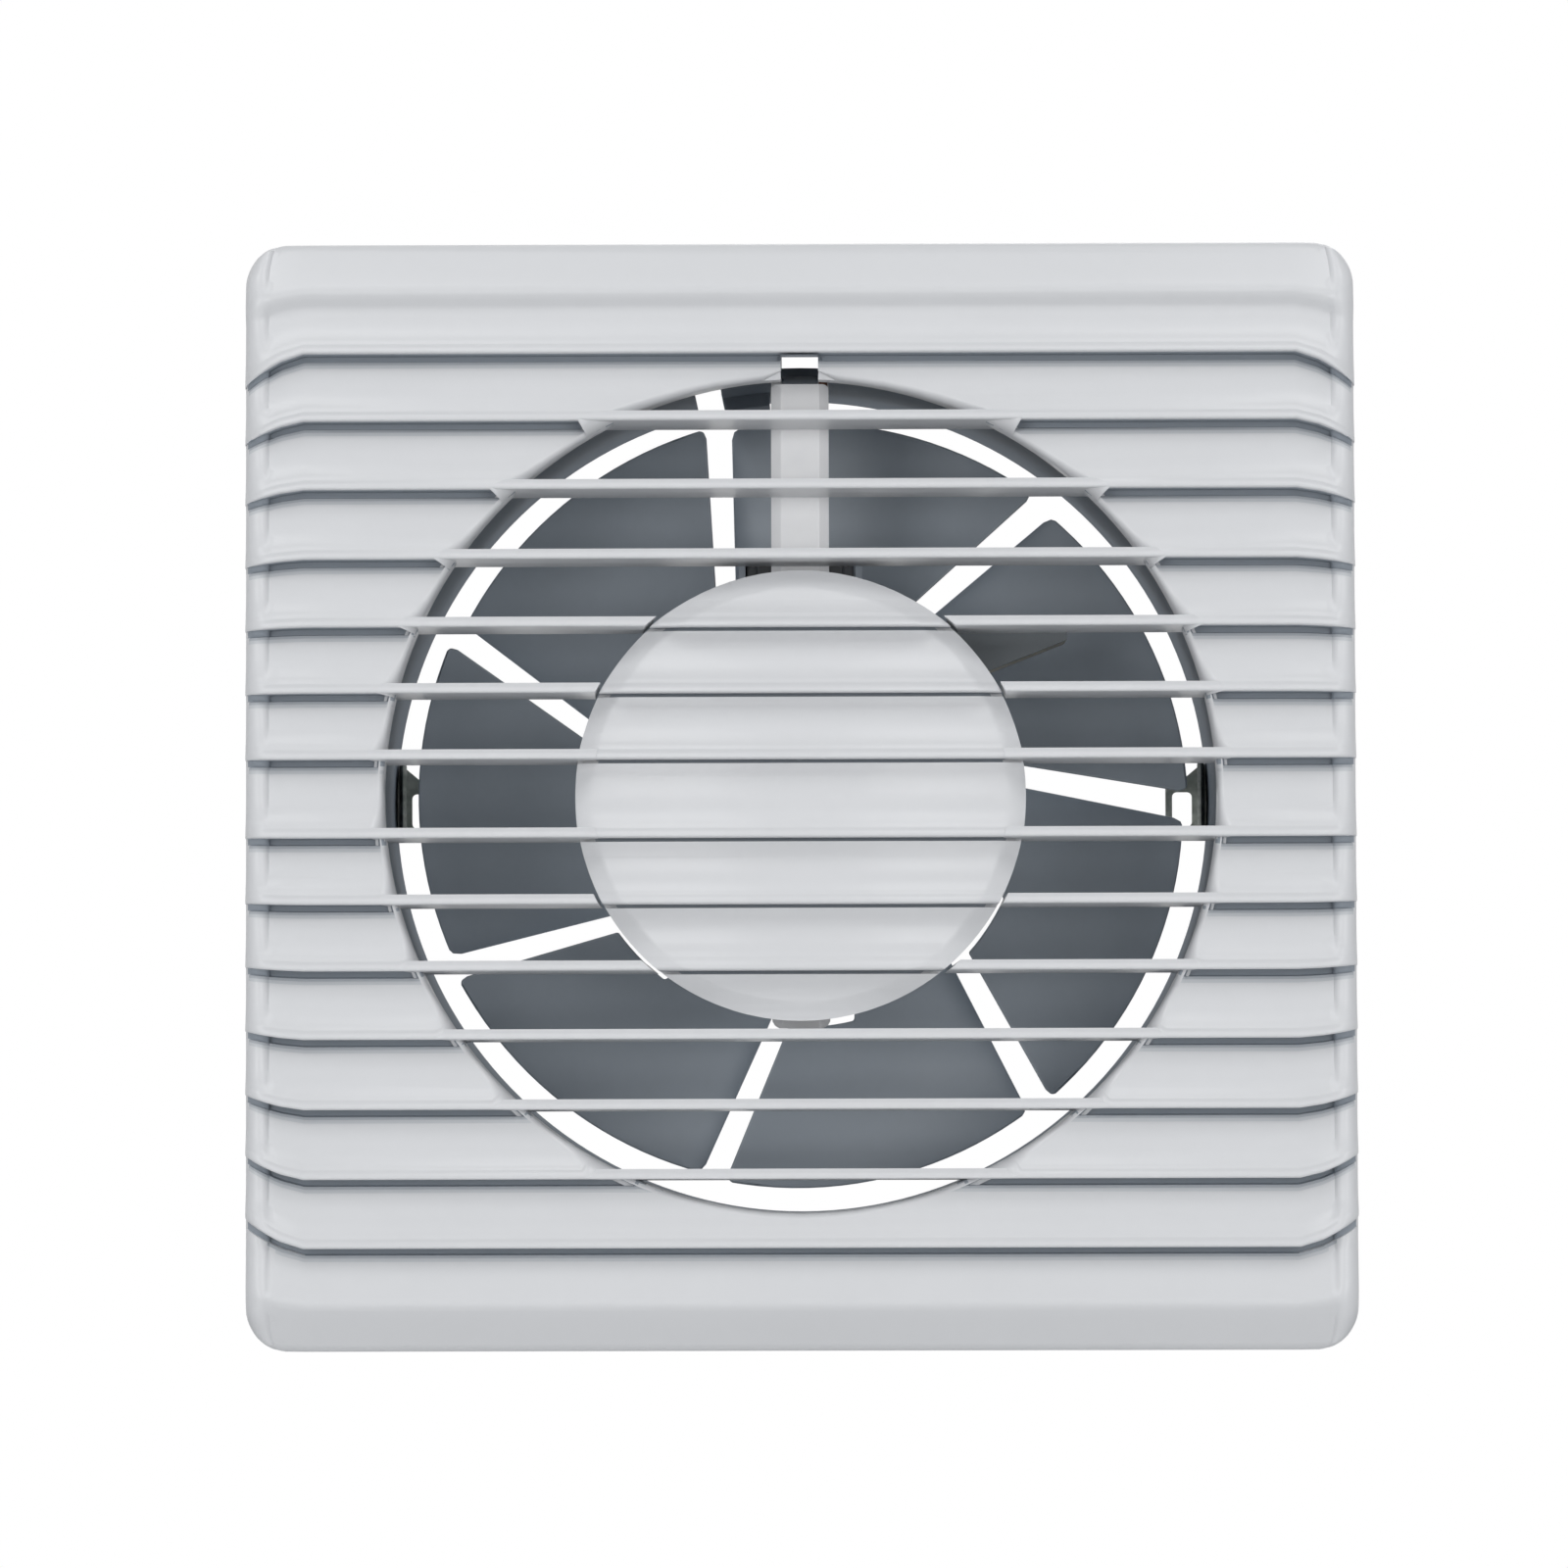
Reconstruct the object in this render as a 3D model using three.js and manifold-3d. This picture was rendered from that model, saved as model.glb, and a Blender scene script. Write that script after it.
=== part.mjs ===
// Square louvred window extractor fan: a 158 mm face on a 125 mm duct.
// Millimetres, +Z up. The origin is on the duct's axis in the wall plane. The louvred
// face looks along -Y, and the duct runs back along +Y through the pane or the wall.

import * as THREE from "three";
import * as BufferGeometryUtils from "three/addons/utils/BufferGeometryUtils.js";
import Module from "manifold-3d";

const wasm = await Module();
wasm.setup();

// ---------------------------------------------------------------- driving sizes

// Cover: one moulding that grips the wall plate's edge.
const FACE_SIZE = 158;
const FACE_CORNER = 6.2;
const COVER_DEPTH = 22;
const COVER_WALL = 2.2;
const COVER_BACK_CLEARANCE = 0.5;
const SIDE_ROUND = 3.5;
const BEVEL_HEIGHT = 6.4;
const BEVEL_DEPTH = 9;

// Louvre lips: seven above and seven below a slightly wider middle band.
const LIPS_PER_HALF = 7;
const LIP_PITCH = 9.65;
const LIP_MIDDLE_PITCH = 11.1;
const LIP_PATTERN_DROP = 0.3;
const LIP_HEIGHT = 1.35;
const LIP_STEP = 2.4;
const LIP_CREASE = 0.7;
const LIP_NOSE = 0.3;
const LIP_DRAFT = 0.15;
const LIP_BEND = 3.4;
const LIP_BEND_WIDTH = 6.3;
const LIP_BEND_POWER = 3.2;
const FACE_THICKNESS = 2;

// Round inlet, its slats and the centre disc.
const INLET_RADIUS = 59.3;
const INLET_FLARE = 2.7;
const INLET_FLARE_DEPTH = 3.4;
const INLET_RIM_WALL = 1.5;
const INLET_RIM_DEPTH = 8;
const SLAT_DEPTH = 10.5;
const SLAT_DRAFT = 0.2;
const DISC_RADIUS = 31.9;
const DISC_BEVEL = 2.9;
const DISC_BEVEL_DEPTH = 2.4;
const DISC_SLIT = 0.8;

// Grip tongues of the cover.
const TONGUE_OFFSET = 45;
const TONGUE_WIDTH = 8;
const TONGUE_THICKNESS = 1.8;

// Wall plate and duct: one moulding. The duct's size follows from the blades' tips.
const DUCT_WALL = 1.2;
const DUCT_LENGTH = 38;
const COLLAR_CLEARANCE = 0.4;
const PLATE_THICKNESS = 2.5;
const PLATE_CLEARANCE = 1;
const PLATE_RIM_INSET = 2.4;
const PLATE_RIM_WALL = 1.6;
const PLATE_RIM_HEIGHT = 5.5;
const WALL_SCREW_INSET = 9.3;
const WALL_SCREW_RADIUS = 2.4;
const GUSSET_WIDTH = 1.4;
const GUSSET_REACH = 5.5;
const GUSSET_HEIGHT = 7.5;
const DUCT_RIB_HEIGHT = 0.8;
const DUCT_RIB_WIDTH = 1.2;
const DUCT_RIB_INSET = 6;
const DUCT_NOTCH_ANGLE = 102.7;
const DUCT_NOTCH_WIDTH = 3.9;
const DUCT_NOTCH_FRONT = 0.5;
const DUCT_LAND_ANGLES = [94.4, 100.8];
const DUCT_LAND_HEIGHT = 1.9;
const DUCT_LAND_LENGTH = 17;
const CABLE_SLOT_WIDTH = 5.3;
const CABLE_SLOT_SHARE = 0.806;

// Motor arm: a strut from 12 o'clock, cross ears at the motor.
const ARM_WIDTH = 8.3;
const ARM_THICKNESS = 3;
const ARM_CHAMFER = 1.5;
const ARM_BACK = -7.8;
const ARM_LOWER_END = -33.5;
const ARM_WEB = 2.8;
const ARM_WEB_DEPTH = 5.5;
const ARM_EAR_THICKNESS = 2;
const ARM_EAR_HEIGHT = 9;
const ARM_RING_WALL = 4.9;
const ARM_FOOT_LENGTH = 11.8;
const ARM_FOOT_THICKNESS = 2;
const ARM_LUG_LENGTH = 3;

// Motor: a shaded-pole motor with its coil above the rotor.
const CORE_FRONT = -2;
const CORE_THICKNESS = 12;
const CORE_HALF_WIDTH = 22;
const CORE_BOTTOM = -17;
const CORE_SHOULDER = 23.5;
const CORE_TOP_HALF = 9.6;
const LEG_BOTTOM = 23;
const LEG_HEIGHT = 8;
const WINDOW_HALF_WIDTH = 10.4;
const BRIDGE = 2;
const BORE_RADIUS = 9.5;
const ROTOR_GAP = 0.4;
const FOOT_REACH = 16.6;
const FOOT_ROOT_BOTTOM = 16.4;
const FOOT_TIP_BOTTOM = 22.9;
const FOOT_TOP = 25.6;
const COIL_HALF_WIDTH = 8.9;
const COIL_BUILD = 5;
const BOBBIN_WALL = 0.6;
const BOBBIN_FLANGE = 1;
const SHADING_BAR = 1.4;
const SHADING_ANGLES = [28, 62];
const MOTOR_SCREW_OFFSET = 16.5;
const MOTOR_SCREW_RADIUS = 1.5;
const SCREW_HEAD_RADIUS = 2.7;
const SCREW_HEAD_HEIGHT = 2;
const NUT_RADIUS = 2.9;
const NUT_HEIGHT = 2;
const SCREW_TAIL = 0.8;
const BRACKET_REACH = 20.5;
const BRACKET_HEIGHT = 9;
const BRACKET_STANDOFF = 5.4;
const BRACKET_STRAP = 2;
const BRACKET_PAD = 8;
const BRACKET_BOSS_RADIUS = 6.8;
const BRACKET_BOSS_LENGTH = 8;
const BEARING_RADIUS = 5.1;
const BEARING_LENGTH = 5.8;
const WASHER_RADIUS = 4;
const WASHER_THICKNESS = 1.5;
const SHAFT_RADIUS = 2;
const SHAFT_FRONT = -9.8;
const SHAFT_LENGTH = 45.8;

// Impeller: a hub cup and seven blades, one moulding.
const BLADE_COUNT = 7;
const BLADE_TIP_RADIUS = 57.2;
const TIP_CLEARANCE = 4.1;
const BLADE_INNER_RADIUS = 35.5;
const BLADE_THICKNESS = 1.8;
const BLADE_FRONT = 17.2;
const BLADE_RISE_PER_DEGREE = 0.245;
const BLADE_CAMBER = 0.9;
const BLADE_PHASE = -10.3;
const BLADE_LEADING_OFFSET = 11.55;
const BLADE_TRAILING_OFFSET = 7.85;
const BLADE_NECK_SHARE = 0.365;
const HUB_RADIUS = 24;
const HUB_WALL = 1.8;
const HUB_FRONT = 16.4;
const HUB_LENGTH = 16.8;
const HUB_BOSS_RADIUS = 5.5;
const HUB_BOSS_LENGTH = 13.8;
const CLIP_RADIUS = 4.6;
const CLIP_THICKNESS = 0.8;

// Spring clips on the duct's rear rim.
const SIDE_CLIP_THICKNESS = 0.8;
const SIDE_CLIP_LOW = -4.5;
const SIDE_CLIP_HIGH = 6.2;
const SIDE_CLIP_INNER = 6.2;
const SIDE_CLIP_STRIP = 1;
const SIDE_CLIP_HOLE = 3;
const SIDE_CLIP_SPREAD = 3.4;
const SIDE_CLIP_LEAF = 24;
const SIDE_CLIP_HOOK = 5;

// Mains connection on the plate.
const TERMINAL_WIDTH = 20;
const TERMINAL_DEPTH = 11;
const TERMINAL_HEIGHT = 11;
const ENTRY_DEPTH = 3;
const TERMINAL_SCREW_PITCH = 8;
const CLAMP_WIDTH = 13;
const CLAMP_DEPTH = 4.5;
const CLAMP_HEIGHT = 4.5;
const CLAMP_SPACING = 1;
const CLAMP_SCREW_PITCH = 8.9;
const SMALL_SCREW_RADIUS = 1.2;
const LEAD_RADIUS = 0.65;
const FITTING_GAP = 0.5;

// Clearances between pieces.
const SEAT_GAP = 0.2;
const RUNNING_GAP = 0.06;
const LUG_GAP = 0.3;

// Facets round a full turn.
const DUCT_SIDES = 64;
const DISC_SIDES = 56;
const HUB_SIDES = 42;
const PIN_SIDES = 24;
const SCREW_SIDES = 12;

// ---------------------------------------------------------------- derived places

const HALF = FACE_SIZE / 2;
const FRONT = -COVER_DEPTH;
const FACE_BACK = FRONT + LIP_STEP + FACE_THICKNESS;
const DUCT_INNER = BLADE_TIP_RADIUS + TIP_CLEARANCE;
const DUCT_OUTER = DUCT_INNER + DUCT_WALL;
const COLLAR_FRONT = FACE_BACK + COLLAR_CLEARANCE;
const PLATE_HALF = HALF - COVER_WALL - PLATE_CLEARANCE;
const PLATE_FRONT = -PLATE_THICKNESS;
const RIM_OUTER = PLATE_HALF - PLATE_RIM_INSET;
const RIM_INNER = RIM_OUTER - PLATE_RIM_WALL;
const WALL_SCREW_PLACE = PLATE_HALF - WALL_SCREW_INSET;
const SLOT_TOP = DUCT_OUTER + (RIM_INNER - DUCT_OUTER) * CABLE_SLOT_SHARE;
const ARM_FRONT = ARM_BACK - ARM_THICKNESS;
const CORE_BACK = CORE_FRONT + CORE_THICKNESS;
const CORE_MIDDLE = (CORE_FRONT + CORE_BACK) / 2;
const LEG_TOP = LEG_BOTTOM + LEG_HEIGHT;
const COIL_TOP = LEG_TOP + COIL_BUILD;
const COIL_FRONT = CORE_FRONT - COIL_BUILD;
const SHAFT_BACK = SHAFT_FRONT + SHAFT_LENGTH;
const HUB_BACK = HUB_FRONT + HUB_LENGTH;
const LEAD_X = (CABLE_SLOT_WIDTH + ARM_WIDTH) / 4;
const LEAD_ROUTE_RADIUS = (DUCT_OUTER + RIM_INNER) / 2;
const TERMINAL_X = WALL_SCREW_PLACE - WALL_SCREW_RADIUS - FITTING_GAP - TERMINAL_WIDTH / 2;
const TERMINAL_Z = RIM_INNER - FITTING_GAP - TERMINAL_HEIGHT / 2;
const CLAMP_X = TERMINAL_X - (TERMINAL_WIDTH + CLAMP_WIDTH) / 2 - CLAMP_SPACING;
const CLAMP_Z = RIM_INNER - FITTING_GAP - CLAMP_HEIGHT / 2;

// ---------------------------------------------------------------- finishes

/** Makes a plain finish from a colour and two surface values. */
function finish(color, roughness, metalness = 0) {
  return new THREE.MeshStandardMaterial({ color, roughness, metalness });
}

const FINISHES = {
  coverPlastic: finish(0xd4d6d8, 0.28),
  armPlastic: finish(0xd5d6d8, 0.35),
  ductPlastic: finish(0x6a7178, 0.3),
  bladePlastic: finish(0x646b73, 0.3),
  steelSheet: finish(0x8c8f88, 0.4, 1),
  coreSteel: finish(0x5b6569, 0.5, 0.8),
  brightSteel: finish(0xb4b6b8, 0.3, 1),
  castAlloy: finish(0x9a9da0, 0.45, 1),
  sinteredBronze: finish(0xa67c52, 0.5, 1),
  copper: finish(0xb87348, 0.35, 1),
  coilTape: finish(0x2c2f33, 0.6),
  bobbinPlastic: finish(0x3a3d42, 0.5),
  fibre: finish(0x8a4b32, 0.8),
  brass: finish(0xc9a54e, 0.35, 1),
  terminalPlastic: finish(0xe6e4dc, 0.4),
  liveInsulation: finish(0x6b3f24, 0.45),
  neutralInsulation: finish(0x2f5fa8, 0.45),
};

// ---------------------------------------------------------------- solid helpers

const MERGE_DISTANCE = 1e-4;

/** Turns a closed geometry into a solid that can be joined and cut. */
function toSolid(geometry) {
  const bare = geometry.clone();
  bare.deleteAttribute("normal");
  bare.deleteAttribute("uv");
  const merged = BufferGeometryUtils.mergeVertices(bare, MERGE_DISTANCE);
  const vertProperties = new Float32Array(merged.attributes.position.array);
  const triVerts = new Uint32Array(merged.index.array);
  return new wasm.Manifold(new wasm.Mesh({ numProp: 3, vertProperties, triVerts }));
}

/** Joins a list of solids into one. */
function join(...solids) {
  return solids.reduce((whole, piece) => whole.add(piece));
}

/** Turns a solid back into a geometry. */
function toGeometry(solid) {
  const { numProp, vertProperties, triVerts } = solid.getMesh();
  const geometry = new THREE.BufferGeometry();
  const places = new THREE.InterleavedBuffer(vertProperties, numProp);
  geometry.setAttribute("position", new THREE.InterleavedBufferAttribute(places, 3, 0));
  geometry.setIndex(new THREE.BufferAttribute(triVerts, 1));
  const flat = geometry.toNonIndexed();
  flat.computeVertexNormals();
  return flat;
}

/** Makes a named mesh from a solid and adds it to a group. */
function addPart(group, name, solid, material) {
  const mesh = new THREE.Mesh(toGeometry(solid), material);
  mesh.name = name;
  group.add(mesh);
  return mesh;
}

/** Makes a flat shape from [x, y] pairs, with optional holes. */
function flatShape(points, holes = []) {
  const toVector = ([x, y]) => new THREE.Vector2(x, y);
  const outline = points.map(toVector);
  const shape = new THREE.Shape(THREE.ShapeUtils.isClockWise(outline) ? outline.toReversed() : outline);
  holes.forEach((hole) => shape.holes.push(new THREE.Path(hole.map(toVector))));
  return shape;
}

/** Lists the corners of a regular polygon whose corners lie on a circle. */
function circlePoints(radius, sides, centre = [0, 0]) {
  return Array.from({ length: sides }, (_, index) => {
    const angle = (index / sides) * 2 * Math.PI;
    return [centre[0] + radius * Math.cos(angle), centre[1] + radius * Math.sin(angle)];
  });
}

/** Lists the corners of a rectangle. */
function rectanglePoints(xLow, xHigh, yLow, yHigh) {
  return [[xLow, yLow], [xHigh, yLow], [xHigh, yHigh], [xLow, yHigh]];
}

/** Lists points round a rectangle with rounded corners, centred on the axis. */
function roundedPoints(halfWidth, halfHeight, radius, steps = 5) {
  const centres = [[1, 1], [-1, 1], [-1, -1], [1, -1]];
  return centres.flatMap(([signX, signY], quarter) =>
    Array.from({ length: steps + 1 }, (_, step) => {
      const angle = ((quarter + step / steps) * Math.PI) / 2;
      const x = signX * (halfWidth - radius) + radius * Math.cos(angle);
      const y = signY * (halfHeight - radius) + radius * Math.sin(angle);
      return [x, y];
    }));
}

/** Extrudes a flat shape by a depth along +Z. */
function extrude(shape, depth) {
  return new THREE.ExtrudeGeometry(shape, { depth, bevelEnabled: false, steps: 1 });
}

/** Extrudes an x-z outline along Y, from its front to its back. */
function prismY(shape, front, back) {
  const geometry = extrude(shape, back - front);
  geometry.rotateX(Math.PI / 2);
  geometry.translate(0, back, 0);
  return toSolid(geometry);
}

/** Extrudes a y-z outline along X. */
function prismX(shape, low, high) {
  const geometry = extrude(shape, high - low);
  const along = new THREE.Matrix4();
  along.makeBasis(new THREE.Vector3(0, 1, 0), new THREE.Vector3(0, 0, 1), new THREE.Vector3(1, 0, 0));
  geometry.applyMatrix4(along);
  geometry.translate(low, 0, 0);
  return toSolid(geometry);
}

/** Extrudes an x-y outline along Z. */
function prismZ(shape, low, high) {
  const geometry = extrude(shape, high - low);
  geometry.translate(0, 0, low);
  return toSolid(geometry);
}

/** Makes a box from its limits along X, Y and Z. */
function box(xLow, xHigh, front, back, low, high) {
  return prismY(flatShape(rectanglePoints(xLow, xHigh, low, high)), front, back);
}

/** Makes a cylinder along Y. */
function rod(radius, front, back, sides, centre = [0, 0]) {
  return prismY(flatShape(circlePoints(radius, sides, centre)), front, back);
}

/** Makes a tube along Y. */
function tube(inner, outer, front, back, sides) {
  return prismY(flatShape(circlePoints(outer, sides), [circlePoints(inner, sides)]), front, back);
}

/** Turns a solid round the Y axis: counter-clockwise as seen from the front. */
function turned(solid, degrees) {
  return solid.rotate([0, -degrees, 0]);
}

/** Closes a front and a back grid of points into a solid, for the cells that are kept. */
function gridSolid(front, back, keep = () => true) {
  const rows = front.length - 1;
  const columns = front[0].length - 1;
  const places = [];
  const quad = (a, b, c, d) => places.push(...a, ...b, ...c, ...a, ...c, ...d);
  const isIn = (row, column) => row >= 0 && row < rows && column >= 0 && column < columns;
  const has = (row, column) => isIn(row, column) && keep(row, column);
  for (let row = 0; row < rows; row += 1) {
    for (let column = 0; column < columns; column += 1) {
      if (!has(row, column)) continue;
      const corners = [[row, column], [row + 1, column], [row + 1, column + 1], [row, column + 1]];
      const neighbours = [[row, column - 1], [row + 1, column], [row, column + 1], [row - 1, column]];
      quad(...corners.map(([r, c]) => front[r][c]));
      quad(...corners.toReversed().map(([r, c]) => back[r][c]));
      neighbours.forEach((neighbour, edge) => {
        if (has(...neighbour)) return;
        const [startRow, startColumn] = corners[edge];
        const [endRow, endColumn] = corners[(edge + 1) % corners.length];
        const near = [front[endRow][endColumn], front[startRow][startColumn]];
        quad(...near, back[startRow][startColumn], back[endRow][endColumn]);
      });
    }
  }
  const geometry = new THREE.BufferGeometry();
  geometry.setAttribute("position", new THREE.Float32BufferAttribute(places, 3));
  return toSolid(geometry);
}

/** Joins outlines of equal point count, each at its own Y, into one solid. */
function loftY(sections) {
  const places = [];
  const rings = sections.map(({ y, points }) => points.map(([x, z]) => [x, y, z]));
  const count = rings[0].length;
  for (let level = 0; level + 1 < rings.length; level += 1) {
    for (let index = 0; index < count; index += 1) {
      const next = (index + 1) % count;
      const [a, b] = [rings[level][index], rings[level][next]];
      const [c, d] = [rings[level + 1][next], rings[level + 1][index]];
      places.push(...a, ...c, ...b, ...a, ...d, ...c);
    }
  }
  const [first, last] = [rings[0], rings.at(-1)];
  for (let index = 1; index + 1 < count; index += 1) {
    places.push(...first[0], ...first[index], ...first[index + 1]);
    places.push(...last[0], ...last[index + 1], ...last[index]);
  }
  const geometry = new THREE.BufferGeometry();
  geometry.setAttribute("position", new THREE.Float32BufferAttribute(places, 3));
  return toSolid(geometry);
}

/** Makes a bar of round section along a smooth curve through the given points. */
function wire(points, radius, steps) {
  const curve = new THREE.CatmullRomCurve3(points.map((point) => new THREE.Vector3(...point)));
  const section = flatShape(circlePoints(radius, 8));
  return toSolid(new THREE.ExtrudeGeometry(section, { steps, extrudePath: curve }));
}

// ---------------------------------------------------------------- cover

/** Gives the height of each lip's lower edge, from the top lip to the bottom one. */
function lipHeights() {
  const steps = Array.from({ length: LIPS_PER_HALF }, (_, index) => index);
  const reach = (step) => LIP_MIDDLE_PITCH / 2 + step * LIP_PITCH;
  const upper = steps.toReversed().map((step) => reach(step) - LIP_PATTERN_DROP);
  const lower = steps.map((step) => -reach(step) - LIP_PATTERN_DROP);
  return [...upper, ...lower];
}

/** Gives the cover's front as [height, depth behind the lips], from top to bottom. */
function coverProfile() {
  const bevel = [
    [HALF, BEVEL_DEPTH],
    [HALF - 0.12 * BEVEL_HEIGHT, 0.6 * BEVEL_DEPTH],
    [HALF - 0.4 * BEVEL_HEIGHT, 0.38 * BEVEL_DEPTH],
    [HALF - BEVEL_HEIGHT, 0.19 * BEVEL_DEPTH],
  ];
  const brow = [[HALF - 1.35 * BEVEL_HEIGHT, LIP_CREASE * 2], [HALF - 1.75 * BEVEL_HEIGHT, LIP_STEP * 0.85]];
  const lips = lipHeights().flatMap((height) => [
    [height + LIP_HEIGHT, LIP_CREASE],
    [height + LIP_NOSE, 0],
    [height, LIP_NOSE],
    [height - LIP_DRAFT, LIP_STEP],
  ]);
  const chin = [[-HALF + BEVEL_HEIGHT, LIP_CREASE * 1.6]];
  const lowerBevel = bevel.slice(0, -1).toReversed().map(([height, depth]) => [-height, depth]);
  return [...bevel, ...brow, ...lips, ...chin, ...lowerBevel];
}

/** Lists the cover's stations from left to right: centre of the edge round, wrap and bend. */
function coverStations() {
  const edge = HALF - SIDE_ROUND;
  const bendAt = (x) => ((x - (HALF - LIP_BEND_WIDTH)) / LIP_BEND_WIDTH) ** 1.8;
  const wraps = [90, 65, 35, 0].map((degrees) => {
    const wrap = THREE.MathUtils.degToRad(degrees);
    return { x: edge, wrap, bend: bendAt(edge + SIDE_ROUND * Math.sin(wrap)) };
  });
  const side = [...wraps, { x: HALF - LIP_BEND_WIDTH, wrap: 0, bend: 0 }];
  const left = side.map((station) => ({ ...station, sign: -1 }));
  const right = side.toReversed().map((station) => ({ ...station, sign: 1 }));
  return [...left, ...right];
}

/** Gives how far a point of the profile moves towards the middle at full bend. */
function lipBend(height) {
  const outerLip = lipHeights()[0];
  const reach = Math.abs(height);
  const share = reach <= outerLip
    ? (reach / outerLip) ** LIP_BEND_POWER
    : (HALF - reach) / (HALF - outerLip);
  return Math.sign(height) * LIP_BEND * share;
}

/** Places one point of the cover's front surface. */
function coverPoint([height, depth], { x, wrap, bend, sign }) {
  const relief = Math.min(depth, LIP_STEP);
  const fade = 1 - 0.85 * Math.sin(wrap);
  const radius = SIDE_ROUND - relief * fade;
  const across = wrap > 0 ? x + radius * Math.sin(wrap) : x;
  const back = FRONT + SIDE_ROUND - radius * Math.cos(wrap) + (depth - relief);
  return [sign * across, back, height - bend * lipBend(height)];
}

/** Makes the louvred face as a thick block, before it is hollowed and pierced. */
function coverBlock() {
  const stations = coverStations();
  const front = coverProfile().map((row) => stations.map((station) => coverPoint(row, station)));
  const back = front.map((row) => row.map(([x, , z]) => [x, -COVER_BACK_CLEARANCE, z]));
  return gridSolid(front, back);
}

/** Makes the hollow behind the face. */
function coverHollow() {
  const inner = HALF - COVER_WALL;
  const corner = FACE_CORNER - COVER_WALL;
  const section = (y, x, z) => ({ y, points: roundedPoints(x, z, corner) });
  return loftY([
    section(FACE_BACK, HALF - SIDE_ROUND - COVER_WALL, HALF - BEVEL_HEIGHT - COVER_WALL),
    section(FRONT + BEVEL_DEPTH, inner, inner),
    section(1, inner, inner),
  ]);
}

/** Makes a round loft from [y, radius] pairs. */
function roundLoft(levels, sides) {
  return loftY(levels.map(([y, radius]) => ({ y, points: circlePoints(radius, sides) })));
}

/** Makes the space inside the flared inlet, grown outwards by a margin. */
function inletSpace(margin) {
  return roundLoft([
    [FRONT - 1, INLET_RADIUS + INLET_FLARE * (1 + 1 / INLET_FLARE_DEPTH) + margin],
    [FRONT + INLET_FLARE_DEPTH, INLET_RADIUS + margin],
    [1, INLET_RADIUS + margin],
  ], DUCT_SIDES);
}

/** Makes the slats that cross the inlet, with a slit where they stop short of the disc. */
function inletSlats() {
  const middle = LIPS_PER_HALF - 0.5;
  const slats = lipHeights().slice(1, -1).map((height, index) => {
    const section = flatShape([
      [FRONT + LIP_NOSE, height],
      [FRONT, height + LIP_NOSE],
      [FRONT + LIP_CREASE, height + LIP_HEIGHT],
      [FRONT + SLAT_DEPTH, height + LIP_HEIGHT - SLAT_DRAFT],
      [FRONT + SLAT_DEPTH, height + SLAT_DRAFT],
    ]);
    const isCarrier = Math.abs(index + 1 - middle) < 1;
    const clear = isCarrier ? DISC_RADIUS - DISC_BEVEL : DISC_RADIUS + DISC_SLIT;
    const reach = INLET_RADIUS + INLET_FLARE + INLET_RIM_WALL;
    return prismX(section, -reach, reach).subtract(rod(clear, FRONT - 1, 0, DISC_SIDES));
  });
  return join(...slats).intersect(inletSpace(INLET_RIM_WALL / 2));
}

/** Makes the centre disc: the louvred face inside a bevelled edge. */
function centreDisc(block) {
  const edge = roundLoft([
    [FRONT - 0.5, DISC_RADIUS - DISC_BEVEL * (1 + 0.5 / DISC_BEVEL_DEPTH)],
    [FRONT + DISC_BEVEL_DEPTH, DISC_RADIUS],
    [FACE_BACK, DISC_RADIUS],
  ], DISC_SIDES);
  return block.intersect(edge);
}

/** Makes the four tongues that grip the wall plate's edge. */
function gripTongues() {
  const outer = HALF - COVER_WALL + 0.5;
  const inner = HALF - COVER_WALL - TONGUE_THICKNESS;
  const tongues = [];
  for (const x of [-TONGUE_OFFSET, TONGUE_OFFSET]) {
    const [low, high] = [x - TONGUE_WIDTH / 2, x + TONGUE_WIDTH / 2];
    const front = FRONT + BEVEL_DEPTH;
    tongues.push(box(low, high, front, -COVER_BACK_CLEARANCE, inner, outer));
    tongues.push(box(low, high, front, -COVER_BACK_CLEARANCE, -outer, -inner));
  }
  return join(...tongues);
}

/** Makes the front cover. */
function makeCover() {
  const block = coverBlock();
  const outline = prismY(flatShape(roundedPoints(HALF, HALF, FACE_CORNER)), FRONT - 1, 0);
  const rimFront = FACE_BACK - FACE_THICKNESS / 2;
  const rim = tube(INLET_RADIUS, INLET_RADIUS + INLET_RIM_WALL, rimFront, FRONT + INLET_RIM_DEPTH, DUCT_SIDES);
  const notchTop = lipHeights()[0] - LIP_NOSE;
  const half = CABLE_SLOT_WIDTH / 2;
  const notch = box(-half, half, FRONT - 1, FRONT + INLET_RIM_DEPTH + 1, INLET_RADIUS - 1, notchTop);
  const shell = block.intersect(outline).subtract(coverHollow()).subtract(inletSpace(0));
  return join(shell, rim).subtract(notch).add(inletSlats()).add(centreDisc(block)).add(gripTongues());
}

// ---------------------------------------------------------------- housing

/** Makes the duct: collar, spigot and one raised ring near its rear rim. */
function makeDuct() {
  const body = tube(DUCT_INNER, DUCT_OUTER, COLLAR_FRONT, DUCT_LENGTH, DUCT_SIDES);
  const ribFront = DUCT_LENGTH - DUCT_RIB_INSET;
  const rib = tube(DUCT_INNER + DUCT_WALL / 2, DUCT_OUTER + DUCT_RIB_HEIGHT, ribFront,
    ribFront + DUCT_RIB_WIDTH, DUCT_SIDES);
  return body.add(rib);
}

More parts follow.
